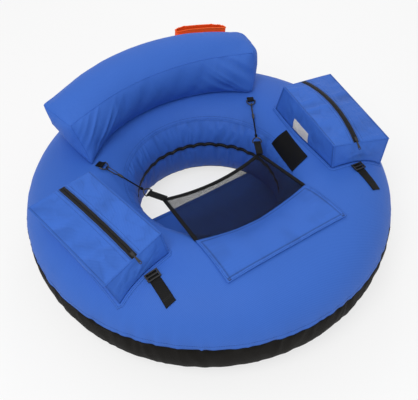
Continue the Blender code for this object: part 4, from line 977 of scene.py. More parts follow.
def seat_place(u, v):
    y = mix(v, SEAT_FRONT - SEAT_BOW * sin(pi * u) ** 0.4, SEAT_REAR)
    half = sqrt((wall_radius(SEAT_HEIGHT) + SEAT_INTO_WALL) ** 2 - y**2)
    sag = SEAT_SAG * sin(pi * u) * (1 - 0.5 * abs(2 * v - 1))
    return Vector(((2 * u - 1) * half, y, SEAT_HEIGHT - sag))


def hem_lines(place, inset_u, inset_v, sides="uv", count=60):
    """Paths a little inside the edges of a sheet laid by place(u, v)."""
    steps = np.linspace(0, 1, count)
    lines = []
    if "v" in sides:
        lines += [[place(mix(s, inset_u, 1 - inset_u), v) for s in steps] for v in (inset_v, 1 - inset_v)]
    if "u" in sides:
        lines += [[place(u, mix(s, inset_v, 1 - inset_v)) for s in steps] for u in (inset_u, 1 - inset_u)]
    return lines


seat_points, u, v = laid(seat_place, 80, 36)
edge = from_edge(u)
seat_folds = 0.0022 * creases(v * 9 + soft_noise(u * 4, v * 3, 5), u * 3, 2) * np.exp(-edge / 0.10)
seat_folds += 0.0012 * soft_noise(u * 7, v * 4, 6)
seat_folds *= np.clip(edge / 0.02, 0, 1)
# Painted shade along the hem lines, stored as the seam mask.
hems = ridge_at(from_edge(v) - SEAT_HEM, 0.012)
seat_points = raised(seat_points, seat_folds)
seat = cloth_piece(
    "sling_seat_cloth", seat_points, BLUE_CLOTH, seat_folds / 0.003, hems * 0.7, wall=CLOTH_WALL
)
settle(seat, "tube", "seat_panel")
dashes("seat_stitches", seat, hem_lines(seat_place, 0.01, SEAT_HEM, "v", 90), BLUE_THREAD)

STRAP_HEIGHT = SEAT_HEIGHT - 0.0068


def seat_strap_place(u, v):
    half = sqrt((wall_radius(STRAP_HEIGHT) - 0.001) ** 2 - SEAT_STRAP_HALF_WIDTH**2)
    y = mix(v, -half, SEAT_STRAP_REAR)
    return Vector(((2 * u - 1) * SEAT_STRAP_HALF_WIDTH, y, STRAP_HEIGHT - 0.001 * sin(pi * v)))


seat_strap = cloth_piece("seat_strap_webbing", surface(seat_strap_place, 8, 60), WEBBING, wall=TAPE_WALL)
settle(seat_strap, "tube", "seat_strap")
print("seat", [round(c, 3) for c in seat.dimensions])

# %% [markdown]
# The apron starts as a panel of blue cloth on the front of the ring. Its hems are turned under and sewn with
# two rows of stitches, and its corners are tacked down, so the cloth pulls in slightly between them. From its
# rear edge a net runs over the lap, bound all round in black tape.

# %% Apron panel


def panel_lay(x, y):
    radius = hypot(x, y)
    if radius >= PANEL_LEAVES_TUBE:
        return tube_top(x, y) + LAY_GAP
    side, angle = upper_angle(PANEL_LEAVES_TUBE)
    step = 1e-4
    low = tube_slope_height(PANEL_LEAVES_TUBE)
    slope = (tube_slope_height(PANEL_LEAVES_TUBE + step) - low) / step
    return low + LAY_GAP + slope * (radius - PANEL_LEAVES_TUBE)


def tube_slope_height(radius):
    return float(section(*upper_angle(radius))[1])


def panel_place(u, v):
    spread = 2 * u - 1
    x = spread * mix(v, PANEL_HALF_WIDTH, PANEL_REAR_HALF_WIDTH) + PANEL_SHIFT
    y = -mix(v, PANEL_FRONT, PANEL_REAR + PANEL_REAR_BOW * (1 - spread**2))
    return Vector((x, y, panel_lay(x, y) + PANEL_THICKNESS))


def net_place(u, v):
    spread = 2 * u - 1
    arch = 1 - spread**2
    start = panel_place(u, 1) + Vector((0, -0.005, -0.0016))
    end = Vector(
        (spread * NET_REAR_HALF_WIDTH, -NET_REAR - NET_REAR_BOW * arch, NET_REAR_HEIGHT - NET_REAR_SAG * arch)
    )
    return start.lerp(end, v)


PANEL_HEM = 0.012
panel_points, u, v = laid(panel_place, 96, 44)
wide, long = 2 * PANEL_HALF_WIDTH, PANEL_FRONT - PANEL_REAR
to_edge = np.minimum(from_edge(u) * wide, from_edge(v) * long)
# Painted shade along the hem, stored as the seam mask; the hem also sinks a little.
hem = ridge_at(to_edge - PANEL_HEM, SEAM_SHADE_WIDTH)
panel_folds = 0.0010 * soft_noise(u * 9, v * 4, 3)
panel_folds += 0.0009 * creases(u * 34, v * 2, 4) * np.exp(-v * long / 0.025)
panel_folds += 0.0009 * creases(v * 14, u * 2, 5) * np.exp(-from_edge(u) * wide / 0.03)
panel_folds += 0.0008 * np.clip(1 - to_edge / PANEL_HEM, 0, 1) - 0.0006 * hem
panel_points = raised(panel_points, np.maximum(panel_folds, -0.0014))
panel = cloth_piece("apron_panel_cloth", panel_points, BLUE_CLOTH, panel_folds / 0.002, hem, wall=0.0010)
settle(panel, "tube", "apron_panel")

hem_u, hem_v = PANEL_HEM / wide, PANEL_HEM / long
rows = [line for inset in (1, 0.35) for line in hem_lines(panel_place, hem_u * inset, hem_v * inset)]
dashes("apron_panel_stitches", panel, rows, BLUE_THREAD)
tacks = []
for corner in (0.012, 0.988):
    for k in range(5):
        start = panel_place(corner, 0.02 + 0.012 * k)
        tacks.append([start, start + Vector((0.009 * (1 if corner < 0.5 else -1), 0, 0))])
dashes("apron_panel_tacks", panel, tacks, BLACK_THREAD, 0.003)

# %% Apron net and its binding
net_points, u, v = laid(net_place, 72, 50)
pull = np.exp(-np.hypot((from_edge(u)) / 0.16, (1 - v) / 0.30))
net_folds = 0.0050 * creases(from_edge(u) * 11 + v * 3, (u > 0.5) * 5.0, 6) * pull * (1 - v) * 2
net_folds += 0.0035 * soft_noise(u * 5, v * 3, 7) * np.sin(pi * v) * np.sin(pi * u)
net_folds *= np.clip(from_edge(v) / 0.05, 0, 1)
net = cloth_piece("apron_net_cloth", raised(net_points, net_folds), NET, net_folds / 0.006)
settle(net, "apron", "apron_mesh")


BINDING_WIDTH, BINDING_STITCHES_IN = 0.0125, 0.0085


def binding_strip(name, line, inward, thickness):
    """A tape folded over an edge: flat above and below, round at the edge."""
    half = thickness / 2
    upper = [(BINDING_WIDTH, half), (0.0015, half), (0, half * 0.5)]
    outline = upper + [(across, -height) for across, height in reversed(upper)]
    grid = []
    for k, point in enumerate(line):
        along = (line[min(k + 1, len(line) - 1)] - line[max(k - 1, 0)]).normalized()
        way = (inward - along * inward.dot(along)).normalized()
        up = way.cross(along)
        if up.z < 0:
            up = -up
        grid.append([tuple(point + way * (a - 0.002) + up * b) for a, b in outline])
    return settle(cloth_piece(name, np.array(grid), WEBBING, closed=True), "apron")


steps = np.linspace(0.02, 1, 40)
net_edges = {
    "left": ([net_place(0, s) for s in steps], Vector((1, 0, 0)), 0.0030),
    "rear": ([net_place(s, 1) for s in np.linspace(0, 1, 60)], Vector((0, -1, 0)), 0.0034),
    "right": ([net_place(1, s) for s in steps], Vector((-1, 0, 0)), 0.0030),
}
bindings = {word: binding_strip("net_binding_" + word, *edge) for word, edge in net_edges.items()}
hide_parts("apron_binding")
for word, (line, inward, thickness) in net_edges.items():
    path = [point + inward * BINDING_STITCHES_IN + Vector((0, 0, 0.002)) for point in line]
    dashes("net_binding_" + word + "_stitches", bindings[word], [path], BLACK_THREAD)
print("apron: panel and net,", len(net.data.polygons), "faces in the net")

# %% [markdown]
# Short webbing tabs hold the four rings. Each is a length of tape folded round the straight bar of its ring
# and sewn down in a small box with a cross in it.

# %% Tabs of the rings
TAB_HALF_WIDTH, TAB_FOLD_OPEN, STITCH_BOX_HALF = 0.0115, 0.30, 0.009


def webbing_tab(name, bar, end, side, body, node):
    """Tape from its sewn end to the fold round the bar and back under itself."""
    toward = end - bar
    span = toward.length
    toward.normalize()
    level_way = chain_level(side)
    across = Vector((level_way.y, -level_way.x, 0))
    up = toward.cross(across)
    if up.z < 0:
        up = -up
    inner, outer = RING_WIRE_RADIUS + 0.0005, RING_WIRE_RADIUS + 0.0021
    upper, lower = [], []
    for k in range(15):
        turn = mix(k / 14, TAB_FOLD_OPEN, TURN - TAB_FOLD_OPEN)
        upper.append((cos(turn) * outer, sin(turn) * outer))
        lower.append((cos(turn) * inner, sin(turn) * inner))
    tail = [(span, -0.0012), (span, 0.0012)]
    outline = [(span * 0.5, 0.0013)] + upper + [(span * 0.5, -0.0013)] + tail
    grid = []
    for k in range(13):
        slip = mix(k / 12, -TAB_HALF_WIDTH, TAB_HALF_WIDTH)
        pinch = 1 - 0.10 * (abs(k - 6) == 6)
        grid.append([tuple(bar + toward * a + up * b * pinch + across * slip) for a, b in outline])
    tab = cloth_piece(name, np.array(grid), WEBBING, closed=True)
    settle(tab, body, node)
    near, far, half = max(0.008, span * 0.25), span - 0.002, STITCH_BOX_HALF
    corners = [bar + toward * a + across * b + up * 0.0016 for a in (near, far) for b in (-half, half)]
    box = [[corners[a], corners[b]] for a, b in ((0, 2), (1, 3), (0, 1), (2, 3), (0, 3), (1, 2))]
    dashes(name + "_stitches", tab, box, BLACK_THREAD, 0.0032, (0.0024, 0.0007, 0.0005))


for word, side in SIDES:
    bar = apron_bar(side)
    end = bar - chain_level(side) * (TAB_REACH + TAB_OVERLAP)
    climb = net_place((side + 1) / 2, 0).z - NET_REAR_HEIGHT
    end.z += climb * 1.5 * TAB_OVERLAP / (PANEL_REAR - NET_REAR)
    webbing_tab("apron_webbing_tab_" + word, bar, end, side, "apron", "apron_tab_" + word)
    base = anchor(side) + chain_level(side) * BACKREST_TAB_LENGTH
    base.z = tube_top(base.x, base.y) + TAB_HALF_THICKNESS + LAY_GAP / 2
    webbing_tab("backrest_webbing_tab_" + word, anchor(side), base, side, "tube", "backrest_tab_" + word)
print("four tabs")

# %% [markdown]
# The backrest is an inflated cushion in a boxed cover: front, rear, top and bottom panels and two ends, bent
# round the sitter. A boxed form with air in it bulges between its seams, and its front gathers where it is
# bent. That is what a cloth simulation with pressure gives, so the skin starts close to its final size, its
# seams are shrunk, and the air swells it.

# %% Shape of the cushion
CUSHION = {
    "length": (0.324, 0.350, 0.334, 0.378),
    "depth": (0.321, 0.305, 0.492, 0.487),
    "sweep": (0.136, 0.070, 0.068, 0.121),
}
# How far its left and right end stand out, how its front and rear bow, its top at front and rear, its crown.
CUSHION_ENDS, CUSHION_BOW = (0.010, 0.036), (-0.016, 0.012)
CUSHION_TOP, CUSHION_CROWN = (0.488, 0.496), 0.040
CUSHION_SIZES = (0.68, 0.18, 0.15)
CUSHION_CELLS = (98, 26, 20)


def corner_blend(v, w, front_bottom, front_top, rear_bottom, rear_top):
    return mix(w, mix(v, front_bottom, rear_bottom), mix(v, front_top, rear_top))


def cushion_point(u, v, w):
    """u runs from -1 to 1 along the cushion, v from front to rear, w from bottom to top."""
    length = corner_blend(v, w, *CUSHION["length"])
    depth = corner_blend(v, w, *CUSHION["depth"])
    sweep = corner_blend(v, w, *CUSHION["sweep"])
    body = 1 - u**4
    end_bulge = CUSHION_ENDS[0 if u < 0 else 1]
    fullness = mix(1 - (2 * w - 1) ** 4, 0.35 * w, 1)
    x = length * u + end_bulge * u**5 * (1 - (2 * v - 1) ** 4) * fullness
    y = depth - sweep * u**2 + mix(v, *CUSHION_BOW) * sin(pi * w) * body
    top = mix(v, *CUSHION_TOP) + CUSHION_CROWN * sin(pi * v) * body
    return Vector((x, y, mix(w, tube_top(x, y) + LAY_GAP, top)))


def skin_of(counts, shrink):
    """The six faces of a boxed form as one welded skin, with shares kept at each corner point."""
    places, keys, quads, panels = [], {}, [], []

    def corner(key):
        if key not in keys:
            keys[key] = len(places)
            inner = [mix(k / n, s, 1 - s) for k, n, s in zip(key, counts, shrink)]
            places.append(cushion_point(2 * inner[0] - 1, inner[1], inner[2]))
        return keys[key]

    for normal in range(3):
        first, second = [axis for axis in range(3) if axis != normal]
        for end in (0, 1):
            for i in range(counts[first]):
                for j in range(counts[second]):
                    quad = []
                    for di, dj in ((0, 0), (1, 0), (1, 1), (0, 1)):
                        key = [0, 0, 0]
                        key[normal], key[first], key[second] = end * counts[normal], i + di, j + dj
                        quad.append(corner(tuple(key)))
                    if (end == 1) == (normal == 1):
                        quad.reverse()
                    quads.append(quad)
                    panels.append((normal, end))
    return places, list(keys), quads, panels


# %% Cushion cover
# The orange panel of the form: its normal runs along the second axis, and it is at the far end.
REAR = (1, 1)
# The flat length, depth and height of its cloth, in metres.
PANEL_SIZES = (0.70, 0.19, 0.15)


def boxed_mesh(name, places, keys, quads, panels, counts):
    mesh = new_mesh(name, [tuple(p) for p in places], quads, BLUE_CLOTH, ORANGE_CLOTH)
    mesh.polygons.foreach_set("material_index", [1 if panel == REAR else 0 for panel in panels])
    layer = mesh.uv_layers.new(name="flat")
    flat = []
    for face, (normal, end) in zip(mesh.polygons, panels):
        first, second = [axis for axis in range(3) if axis != normal]
        for index in face.vertices:
            key = keys[index]
            flat += [key[axis] / counts[axis] * PANEL_SIZES[axis] for axis in (first, second)]
    layer.data.foreach_set("uv", flat)
    mesh.shade_smooth()
    return add_object(name, mesh)


def points_of(mesh, what="co"):
    return np.array([tuple(getattr(vertex, what)) for vertex in mesh.vertices])


def averaged(points, edges):
    """Each point moved to the middle of its neighbours."""
    total, times = np.zeros_like(points), np.zeros(len(points))
    for a, b in ((0, 1), (1, 0)):
        np.add.at(total, edges[:, a], points[edges[:, b]])
        np.add.at(times, edges[:, a], 1)
    return total / times[:, None]


def edges_of(mesh):
    return np.array([tuple(edge.vertices) for edge in mesh.edges])


def soften(thing, rounds, share):
    """Round the corners of a boxed skin; share says how far each point may follow its neighbours."""
    mesh = thing.data
    points, edges = points_of(mesh), edges_of(mesh)
    for _ in range(rounds):
        points += (averaged(points, edges) - points) * share[:, None]
    mesh.vertices.foreach_set("co", points.astype(np.float32).ravel())
    mesh.update()


AIR = {
    "quality": 6,
    "mass": 0.3,
    "tension_stiffness": 18,
    "compression_stiffness": 12,
    "shear_stiffness": 6,
    "bending_stiffness": 2.5,
    "air_damping": 4,
    "use_pressure": True,
    "vertex_group_shrink": "seams",
    "shrink_min": 0.0,
    "shrink_max": 0.012,
}


def swell(thing, seam_weights, pressure, reach, frames=20):
    """Let air swell a closed cloth, then move its points by no more than reach."""
    before = points_of(thing.data)
    group = thing.vertex_groups.new(name="seams")
    for index, weight in enumerate(seam_weights):
        group.add([index], float(weight), "REPLACE")
    sim = thing.modifiers.new("air", "CLOTH")
    for field, value in AIR.items():
        setattr(sim.settings, field, value)
    sim.settings.effector_weights.gravity = 0
    sim.settings.uniform_pressure_force = pressure
    sim.collision_settings.use_collision = False
    sim.collision_settings.use_self_collision = False
    scene = bpy.context.scene
    scene.frame_start, scene.frame_end = 1, frames
    for number in range(1, frames + 1):
        scene.frame_set(number)
    settled = thing.evaluated_get(bpy.context.evaluated_depsgraph_get())
    after = points_of(settled.data)
    thing.modifiers.remove(sim)
    scene.frame_set(1)
    move = after - before
    size = np.linalg.norm(move, axis=1, keepdims=True)
    move *= np.minimum(1, reach / np.maximum(size, 1e-9))
    thing.data.vertices.foreach_set("co", (before + move).astype(np.float32).ravel())
    thing.vertex_groups.clear()
    thing.data.update()
    return float(size.mean())


def fold_of(thing, spacing):
    """Store how far each point stands over its neighbours, as ridge or valley."""
    mesh = thing.data
    points, facing, edges = points_of(mesh), points_of(mesh, "normal"), edges_of(mesh)
    near = points
    for _ in range(3):
        near = averaged(near, edges)
    height = ((points - near) * facing).sum(1) / spacing
    fold = mesh.attributes.new("fold", "FLOAT", "POINT")
    fold.data.foreach_set("value", np.clip(height, -1, 1).astype(np.float32))


# Metres that the skin starts inside the form, or outside where negative, along each of its sizes.
shares_in = [inset / size for inset, size in zip((-0.006, -0.002, 0.001), CUSHION_SIZES)]
places, keys, quads, panels = skin_of(CUSHION_CELLS, shares_in)
cushion = boxed_mesh("backrest_cushion_cloth", places, keys, quads, panels, CUSHION_CELLS)


def border(key):
    return sum(k in (0, n) for k, n in zip(key, CUSHION_CELLS))


skin_shares = np.array(keys, float) / np.array(CUSHION_CELLS)
tip = sum(
    np.exp(-np.sum(((skin_shares - place) / reach) ** 2, axis=1))
    for place, reach in (((0, 1, 1), (0.06, 0.35, 0.35)), ((0, 0, 0), (0.05, 0.30, 0.30)))
)
soften(cushion, 14, 0.5 * (1 - 0.9 * np.clip(tip, 0, 1)))
seam_weights = [1.0 if border(key) >= 2 else 0.0 for key in keys]
mean_move = swell(cushion, seam_weights, pressure=4.0, reach=0.018)
print("the air moved the cushion's skin by", round(mean_move * 1000, 1), "mm on average")
soften(cushion, 5, 0.5 * (1 - np.clip(tip, 0, 1)))

# %% [markdown]
# The swollen skin still lacks the creases that the sewing makes: upright gathers on the front panel, a fan of
# folds at each of its ends, and short puckers along the top. One subdivision gives them points to stand on,
# and they are added as low heights along the normals.

# %% Gathers of the cushion
CUSHION_LAY = 0.0012


def refine(thing):
    """Make one subdivision real, so that small folds have points to stand on."""
    place = thing.data.attributes.new("place", "FLOAT_VECTOR", "POINT")
    place.data.foreach_set("vector", skin_shares.astype(np.float32).ravel())
    finer = thing.modifiers.new("finer", "SUBSURF")
    finer.levels = finer.render_levels = 1
    graph = bpy.context.evaluated_depsgraph_get()
    mesh = bpy.data.meshes.new_from_object(thing.evaluated_get(graph), depsgraph=graph)
    thing.modifiers.remove(finer)
    thing.data = mesh
    print(thing.name, "now has", len(mesh.vertices), "points")


def gather_cushion():
    mesh = cushion.data
    facing, points = points_of(mesh, "normal"), points_of(mesh)
    place = np.empty(len(points) * 3, np.float32)
    mesh.attributes["place"].data.foreach_get("vector", place)
    u, v, w = place.reshape(-1, 3).astype(float).T
    on_front = v < 0.001
    on_top = w > 0.999
    on_end = (u < 0.001) | (u > 0.999)
    inside = np.sin(pi * np.clip(w, 0, 1)) ** 0.5
    upright = creases(u * 30 + 0.8 * soft_noise(u * 6, w * 3, 1), w * 0.5, 2)
    strength = np.exp(-((1 - w) / 0.45) ** 2)
    fan = creases((u - 0.80) * 22 + (w - 0.3) * 6, 0 * u, 3) * np.exp(-(((u - 0.88) / 0.10) ** 2))
    height = on_front * inside * (0.0017 * upright * strength + 0.0060 * fan)
    left_fan = creases((u - 0.2) * 20 - w * 5, 0 * u, 4) * np.exp(-(((u - 0.12) / 0.10) ** 2))
    height += on_front * inside * 0.0052 * left_fan
    near_seam = np.minimum(from_edge(v) * 9, 1)
    height += on_top * near_seam * 0.0007 * creases(u * 40, v * 2, 5) * np.exp(-from_edge(v) / 0.10)
    height += on_top * near_seam * 0.0008 * soft_noise(u * 12, v * 3, 6)
    height += on_end * np.sin(pi * v) * np.sin(pi * w) * 0.0024 * creases(v * 5 + w * 3, w * 2, 7)
    points += facing * height[:, None]
    for point in points:
        point[2] = max(point[2], tube_top(point[0], point[1]) + CUSHION_LAY)
    mesh.vertices.foreach_set("co", points.astype(np.float32).ravel())
    mesh.update()


refine(cushion)
gather_cushion()
fold_of(cushion, 0.0030)
settle(
    cushion, "backrest", "backrest_front_panel", "backrest_top_panel", "backrest_bottom_panel",
    "backrest_end_left", "backrest_end_right", "backrest_rear_panel",
)

index_of = {key: i for i, key in enumerate(keys)}
cushion_tree = tree_of(cushion)


def seam_edges():
    """The twelve edges of the boxed form, as paths of points of the finished skin."""
    found = []
    for axis in range(3):
        others = [a for a in range(3) if a != axis]
        for first in (0, CUSHION_CELLS[others[0]]):
            for second in (0, CUSHION_CELLS[others[1]]):
                path = []
                for k in range(CUSHION_CELLS[axis] + 1):
                    key = [0, 0, 0]
                    key[axis], key[others[0]], key[others[1]] = k, first, second
                    path.append(cushion.data.vertices[index_of[tuple(key)]].co.copy())
                found.append(path)
    return found


for number, path in enumerate(seam_edges()):
    name = f"cushion_seam_{number:02d}"
    seam_ridge(name, cushion, path, STOUT_SEAM_RADIUS, BLUE_CLOTH, sink=0.1, tree=cushion_tree)
print("cushion", [round(c, 3) for c in cushion.dimensions])

# %% Cushion bladder
bladder_counts = (40, 10, 8)
BLADDER_INSET = 0.022
bladder_skin = skin_of(bladder_counts, [BLADDER_INSET / size for size in CUSHION_SIZES])
cushion_bladder = boxed_mesh("backrest_bladder_film", *bladder_skin, bladder_counts)
cushion_bladder.data.materials.clear()
cushion_bladder.data.materials.append(BLADDER_SHEET)
smooth = cushion_bladder.modifiers.new("smooth", "SUBSURF")
smooth.levels = smooth.render_levels = 1
settle(cushion_bladder, "backrest", "backrest_bladder")

# %% [markdown]
# Behind the cushion's right half hangs an orange pouch, open at its top, where an elastic hem gathers the
# cloth. Its front lies on the cushion and its back hangs full.

# %% Orange pouch
POUCH_INNER, POUCH_OUTER, POUCH_DEPTH = 0.184, 0.345, 0.034
POUCH_BASE, POUCH_TOP = 0.365, 0.506


def pouch_back(x, z):
    w = (z - POUCH_BASE) / (POUCH_TOP - POUCH_BASE)
    level_share = mix(w, 0.25, 1.0)
    half = corner_blend(1, level_share, *CUSHION["length"])
    place = cushion_point(x / half, 1, level_share)
    bulge = 0.012 * (1 - sin(pi * level_share)) * (1 - (x / half) ** 4)
    return place.y + bulge + FIT_GAP


def pouch_place(s, w):
    """s runs round the pouch, first along the wall that lies on the cushion, then along its full back."""
    angle = TURN * s
    along = copysign(abs(cos(angle)) ** 0.35, cos(angle))
    away = copysign(abs(sin(angle)) ** 0.55, sin(angle))
    x = mix((1 - along) / 2, POUCH_INNER, POUCH_OUTER)
    z = mix(w, POUCH_BASE, POUCH_TOP) - 0.005 * w * along**4
    depth = POUCH_DEPTH * (1 - 0.15 * w**3)
    return Vector((x, pouch_back(x, z) + depth * (1 - away) / 2, z))


pouch_columns, pouch_levels = 120, np.linspace(0, 1, 26)
pouch_points = np.array(
    [[tuple(pouch_place(s / pouch_columns, w)) for s in range(pouch_columns)] for w in pouch_levels]
)
s = np.arange(pouch_columns) / pouch_columns
w = pouch_levels[:, None]
outer_side = np.clip(-np.sin(TURN * s) * 2, 0, 1)
pouch_folds = 0.0022 * creases(s * 34, w * 2, 8, 34) * np.exp(-((1 - w) / 0.25)) * outer_side
pouch_folds = pouch_folds + 0.004 * np.sin(pi * w) * outer_side
pouch_folds += 0.0015 * soft_noise(s * 9, w * 4, 9, 9) * outer_side
pouch_points = raised(pouch_points, pouch_folds, True)
pouch = cloth_piece(
    "pouch_cloth", pouch_points, ORANGE_CLOTH, pouch_folds / 0.003, closed=True, wall=CLOTH_WALL
)
settle(pouch, "backrest", "rear_pouch")


def pouch_floor(u, v):
    x = mix(u, POUCH_INNER, POUCH_OUTER)
    return Vector((x, pouch_back(x, POUCH_BASE) + v * POUCH_DEPTH, POUCH_BASE + 0.0006))


pouch_base = cloth_piece("pouch_base_cloth", surface(pouch_floor, 24, 6), ORANGE_CLOTH, wall=CLOTH_WALL)
carried(pouch_base, pouch)
rim = [Vector(p) for p in pouch_points[-1]]
seam_ridge("pouch_elastic_hem", pouch, rim, 0.0022, ORANGE_CLOTH, True, sink=0.2)
print("pouch", [round(c, 3) for c in pouch.dimensions])

# %% [markdown]
# Each pocket is a bag of the cover's cloth, four walls and a top that a zip splits in two. The left one is
# flat and creased, the right one domed. The walls are one ring of cloth round the pocket, and each half of
# the top is a sheet from its sewn edge to the zip, which moves with its lid when the pocket is opened.

# %% Shape of the pockets
POCKET_TOP = ((0.309, -0.245, 0.419), (0.366, 0.077, 0.423), (0.506, -0.290, 0.386), (0.572, 0.066, 0.399))
POCKET_FOOT = ((0.300, -0.261), (0.344, 0.085), (0.480, -0.300), (0.540, 0.078))
POCKET_LAY = 0.0027
ZIP_SHARES = {"left": (0.47, 0.47, 0.010), "right": (0.40, 0.47, 0.028)}
ZIP_TAPE = 0.009
FLANGE_WIDTH = 0.0115
# About the width of half a top, from the wall to the zip.
HALF_TOP = 0.10


def between(corners, u, v, side):
    """The place at shares u and v between four corners."""
    first, second, third, fourth = (Vector((side * x, y, *z)) for x, y, *z in corners)
    return first.lerp(second, v).lerp(third.lerp(fourth, v), u)


def pocket_point(u, v, w, side):
    """u runs from the inner to the outer wall, v from front to rear, w upward."""
    foot = between(POCKET_FOOT, u, v, side).to_3d()
    foot.z = tube_top(foot.x, foot.y) + POCKET_LAY
    return foot.lerp(between(POCKET_TOP, u, v, side), w)


class ZipArch:
    """The arched line of a zip: a circle through its ends and its raised middle."""

    def __init__(self, word, side):
        end_share, middle_share, crown = ZIP_SHARES[word]
        start, finish = pocket_point(end_share, 0, 1, side), pocket_point(end_share, 1, 1, side)
        middle = pocket_point(middle_share, 0.5, 1, side) + Vector((0, 0, crown))
        chord = finish - start
        rise = middle - start.lerp(finish, 0.5)
        rise -= chord * rise.dot(chord) / chord.length_squared
        self.radius = ((chord.length / 2) ** 2 + rise.length_squared) / (2 * rise.length)
        self.centre = start.lerp(finish, 0.5) + rise.normalized() * (rise.length - self.radius)
        self.half_angle = asin(chord.length / 2 / self.radius)
        self.outward, self.forward = rise.normalized(), -chord.normalized()

    def at(self, v):
        angle = mix(v, self.half_angle, -self.half_angle)
        return self.centre + (self.outward * cos(angle) + self.forward * sin(angle)) * self.radius


# %% Pocket walls
WALL_CELLS = (44, 88)
WALL_TOP = 0.975


def perimeter():
    """Shares (u, v) round a pocket, in order front, outer, rear, inner, with the share along each wall."""
    across, along = WALL_CELLS
    found = [(k / across, 0.0, k / across, 0) for k in range(across)]
    found += [(1.0, k / along, k / along, 1) for k in range(along)]
    found += [(1 - k / across, 1.0, k / across, 2) for k in range(across)]
    return found + [(0.0, 1 - k / along, k / along, 3) for k in range(along)]


def make_pocket_walls(word, side):
    around = perimeter()
    levels = np.linspace(0, WALL_TOP, 27)
    points = np.array([[tuple(pocket_point(u, v, w, side)) for u, v, s, n in around] for w in levels])
    run = np.array([s for u, v, s, n in around])
    which = np.array([n for u, v, s, n in around])
    w = levels[:, None] / WALL_TOP
    middle = np.sin(pi * run) ** 0.7 * np.sin(pi * np.clip(w, 0, 1)) ** 0.7
    layer = 1 if word == "left" else 3
    fullness = 0.0055 if word == "left" else 0.0065
    long_run = run * np.where(which % 2, 6.5, 3.2)
    broad = facets(long_run + 1.1 * w + which * 7.1, w * 1.3 + which * 3, layer)
    fold = (0.0040 * broad - 0.0016 * np.exp(-np.abs(broad) / 0.08)) * middle
    fold += 0.0018 * facets(long_run * 2.3 + which * 5.3, w * 2.6, layer + 3) * middle
    fold += 0.0012 * soft_noise(run * 7 + which * 9, w * 4, layer + 2) * middle
    height = fold + fullness * middle
    points = raised(points, height if side > 0 else -height, True)
    # Painted shade down the corner seams, stored as the seam mask.
    seam = ridge_at(from_edge(run) - 0.01, 0.012) + 0 * w
    name = word + "_pocket_wall_cloth"
    walls = cloth_piece(
        name, points, BLUE_CLOTH, fold / 0.004, seam, closed=True, flip=side < 0, wall=CLOTH_WALL
    )
    settle(walls, "tube", word + "_pocket_body")

    def floor_place(u, v):
        return pocket_point(u, v, 0, side) + Vector((0, 0, 0.0006))

    floor = surface(floor_place, 12, 24)
    base = cloth_piece(word + "_pocket_base_cloth", floor, BLUE_CLOTH, flip=side < 0, wall=THIN_WALL)
    carried(base, walls)
    return walls, points


def make_pocket_flange(word, side, walls):
    """The flange at the foot, sewn to the ring: a narrow strip of cloth that lies on it."""
    around, middle = perimeter(), pocket_point(0.5, 0.5, 0, side)
    grid = []
    for width in (0.0, 0.003, 0.007, FLANGE_WIDTH):
        row = []
        for u, v, s, n in around:
            foot = pocket_point(u, v, 0, side)
            out = Vector((foot.x - middle.x, foot.y - middle.y, 0))
            normal = ((0, -1), (1, 0), (0, 1), (-1, 0))[n]
            out = Vector((side * normal[0], normal[1], 0)) + out.normalized() * 0.35
            spot = foot + out.normalized() * width
            spot.z = tube_top(spot.x, spot.y) + 0.0016 + 0.0012 * sin(pi * width / FLANGE_WIDTH)
            row.append(tuple(spot))
        grid.append(row)
    grid = np.array(grid)
    name = word + "_pocket_flange"
    flange = cloth_piece(name, grid, BLUE_CLOTH, closed=True, flip=side > 0, wall=THIN_WALL)
    carried(flange, walls)
    line = closed_path(grid[2])
    dashes(name + "_stitches", flange, [line], BLUE_THREAD)


# %% Pocket tops and zips


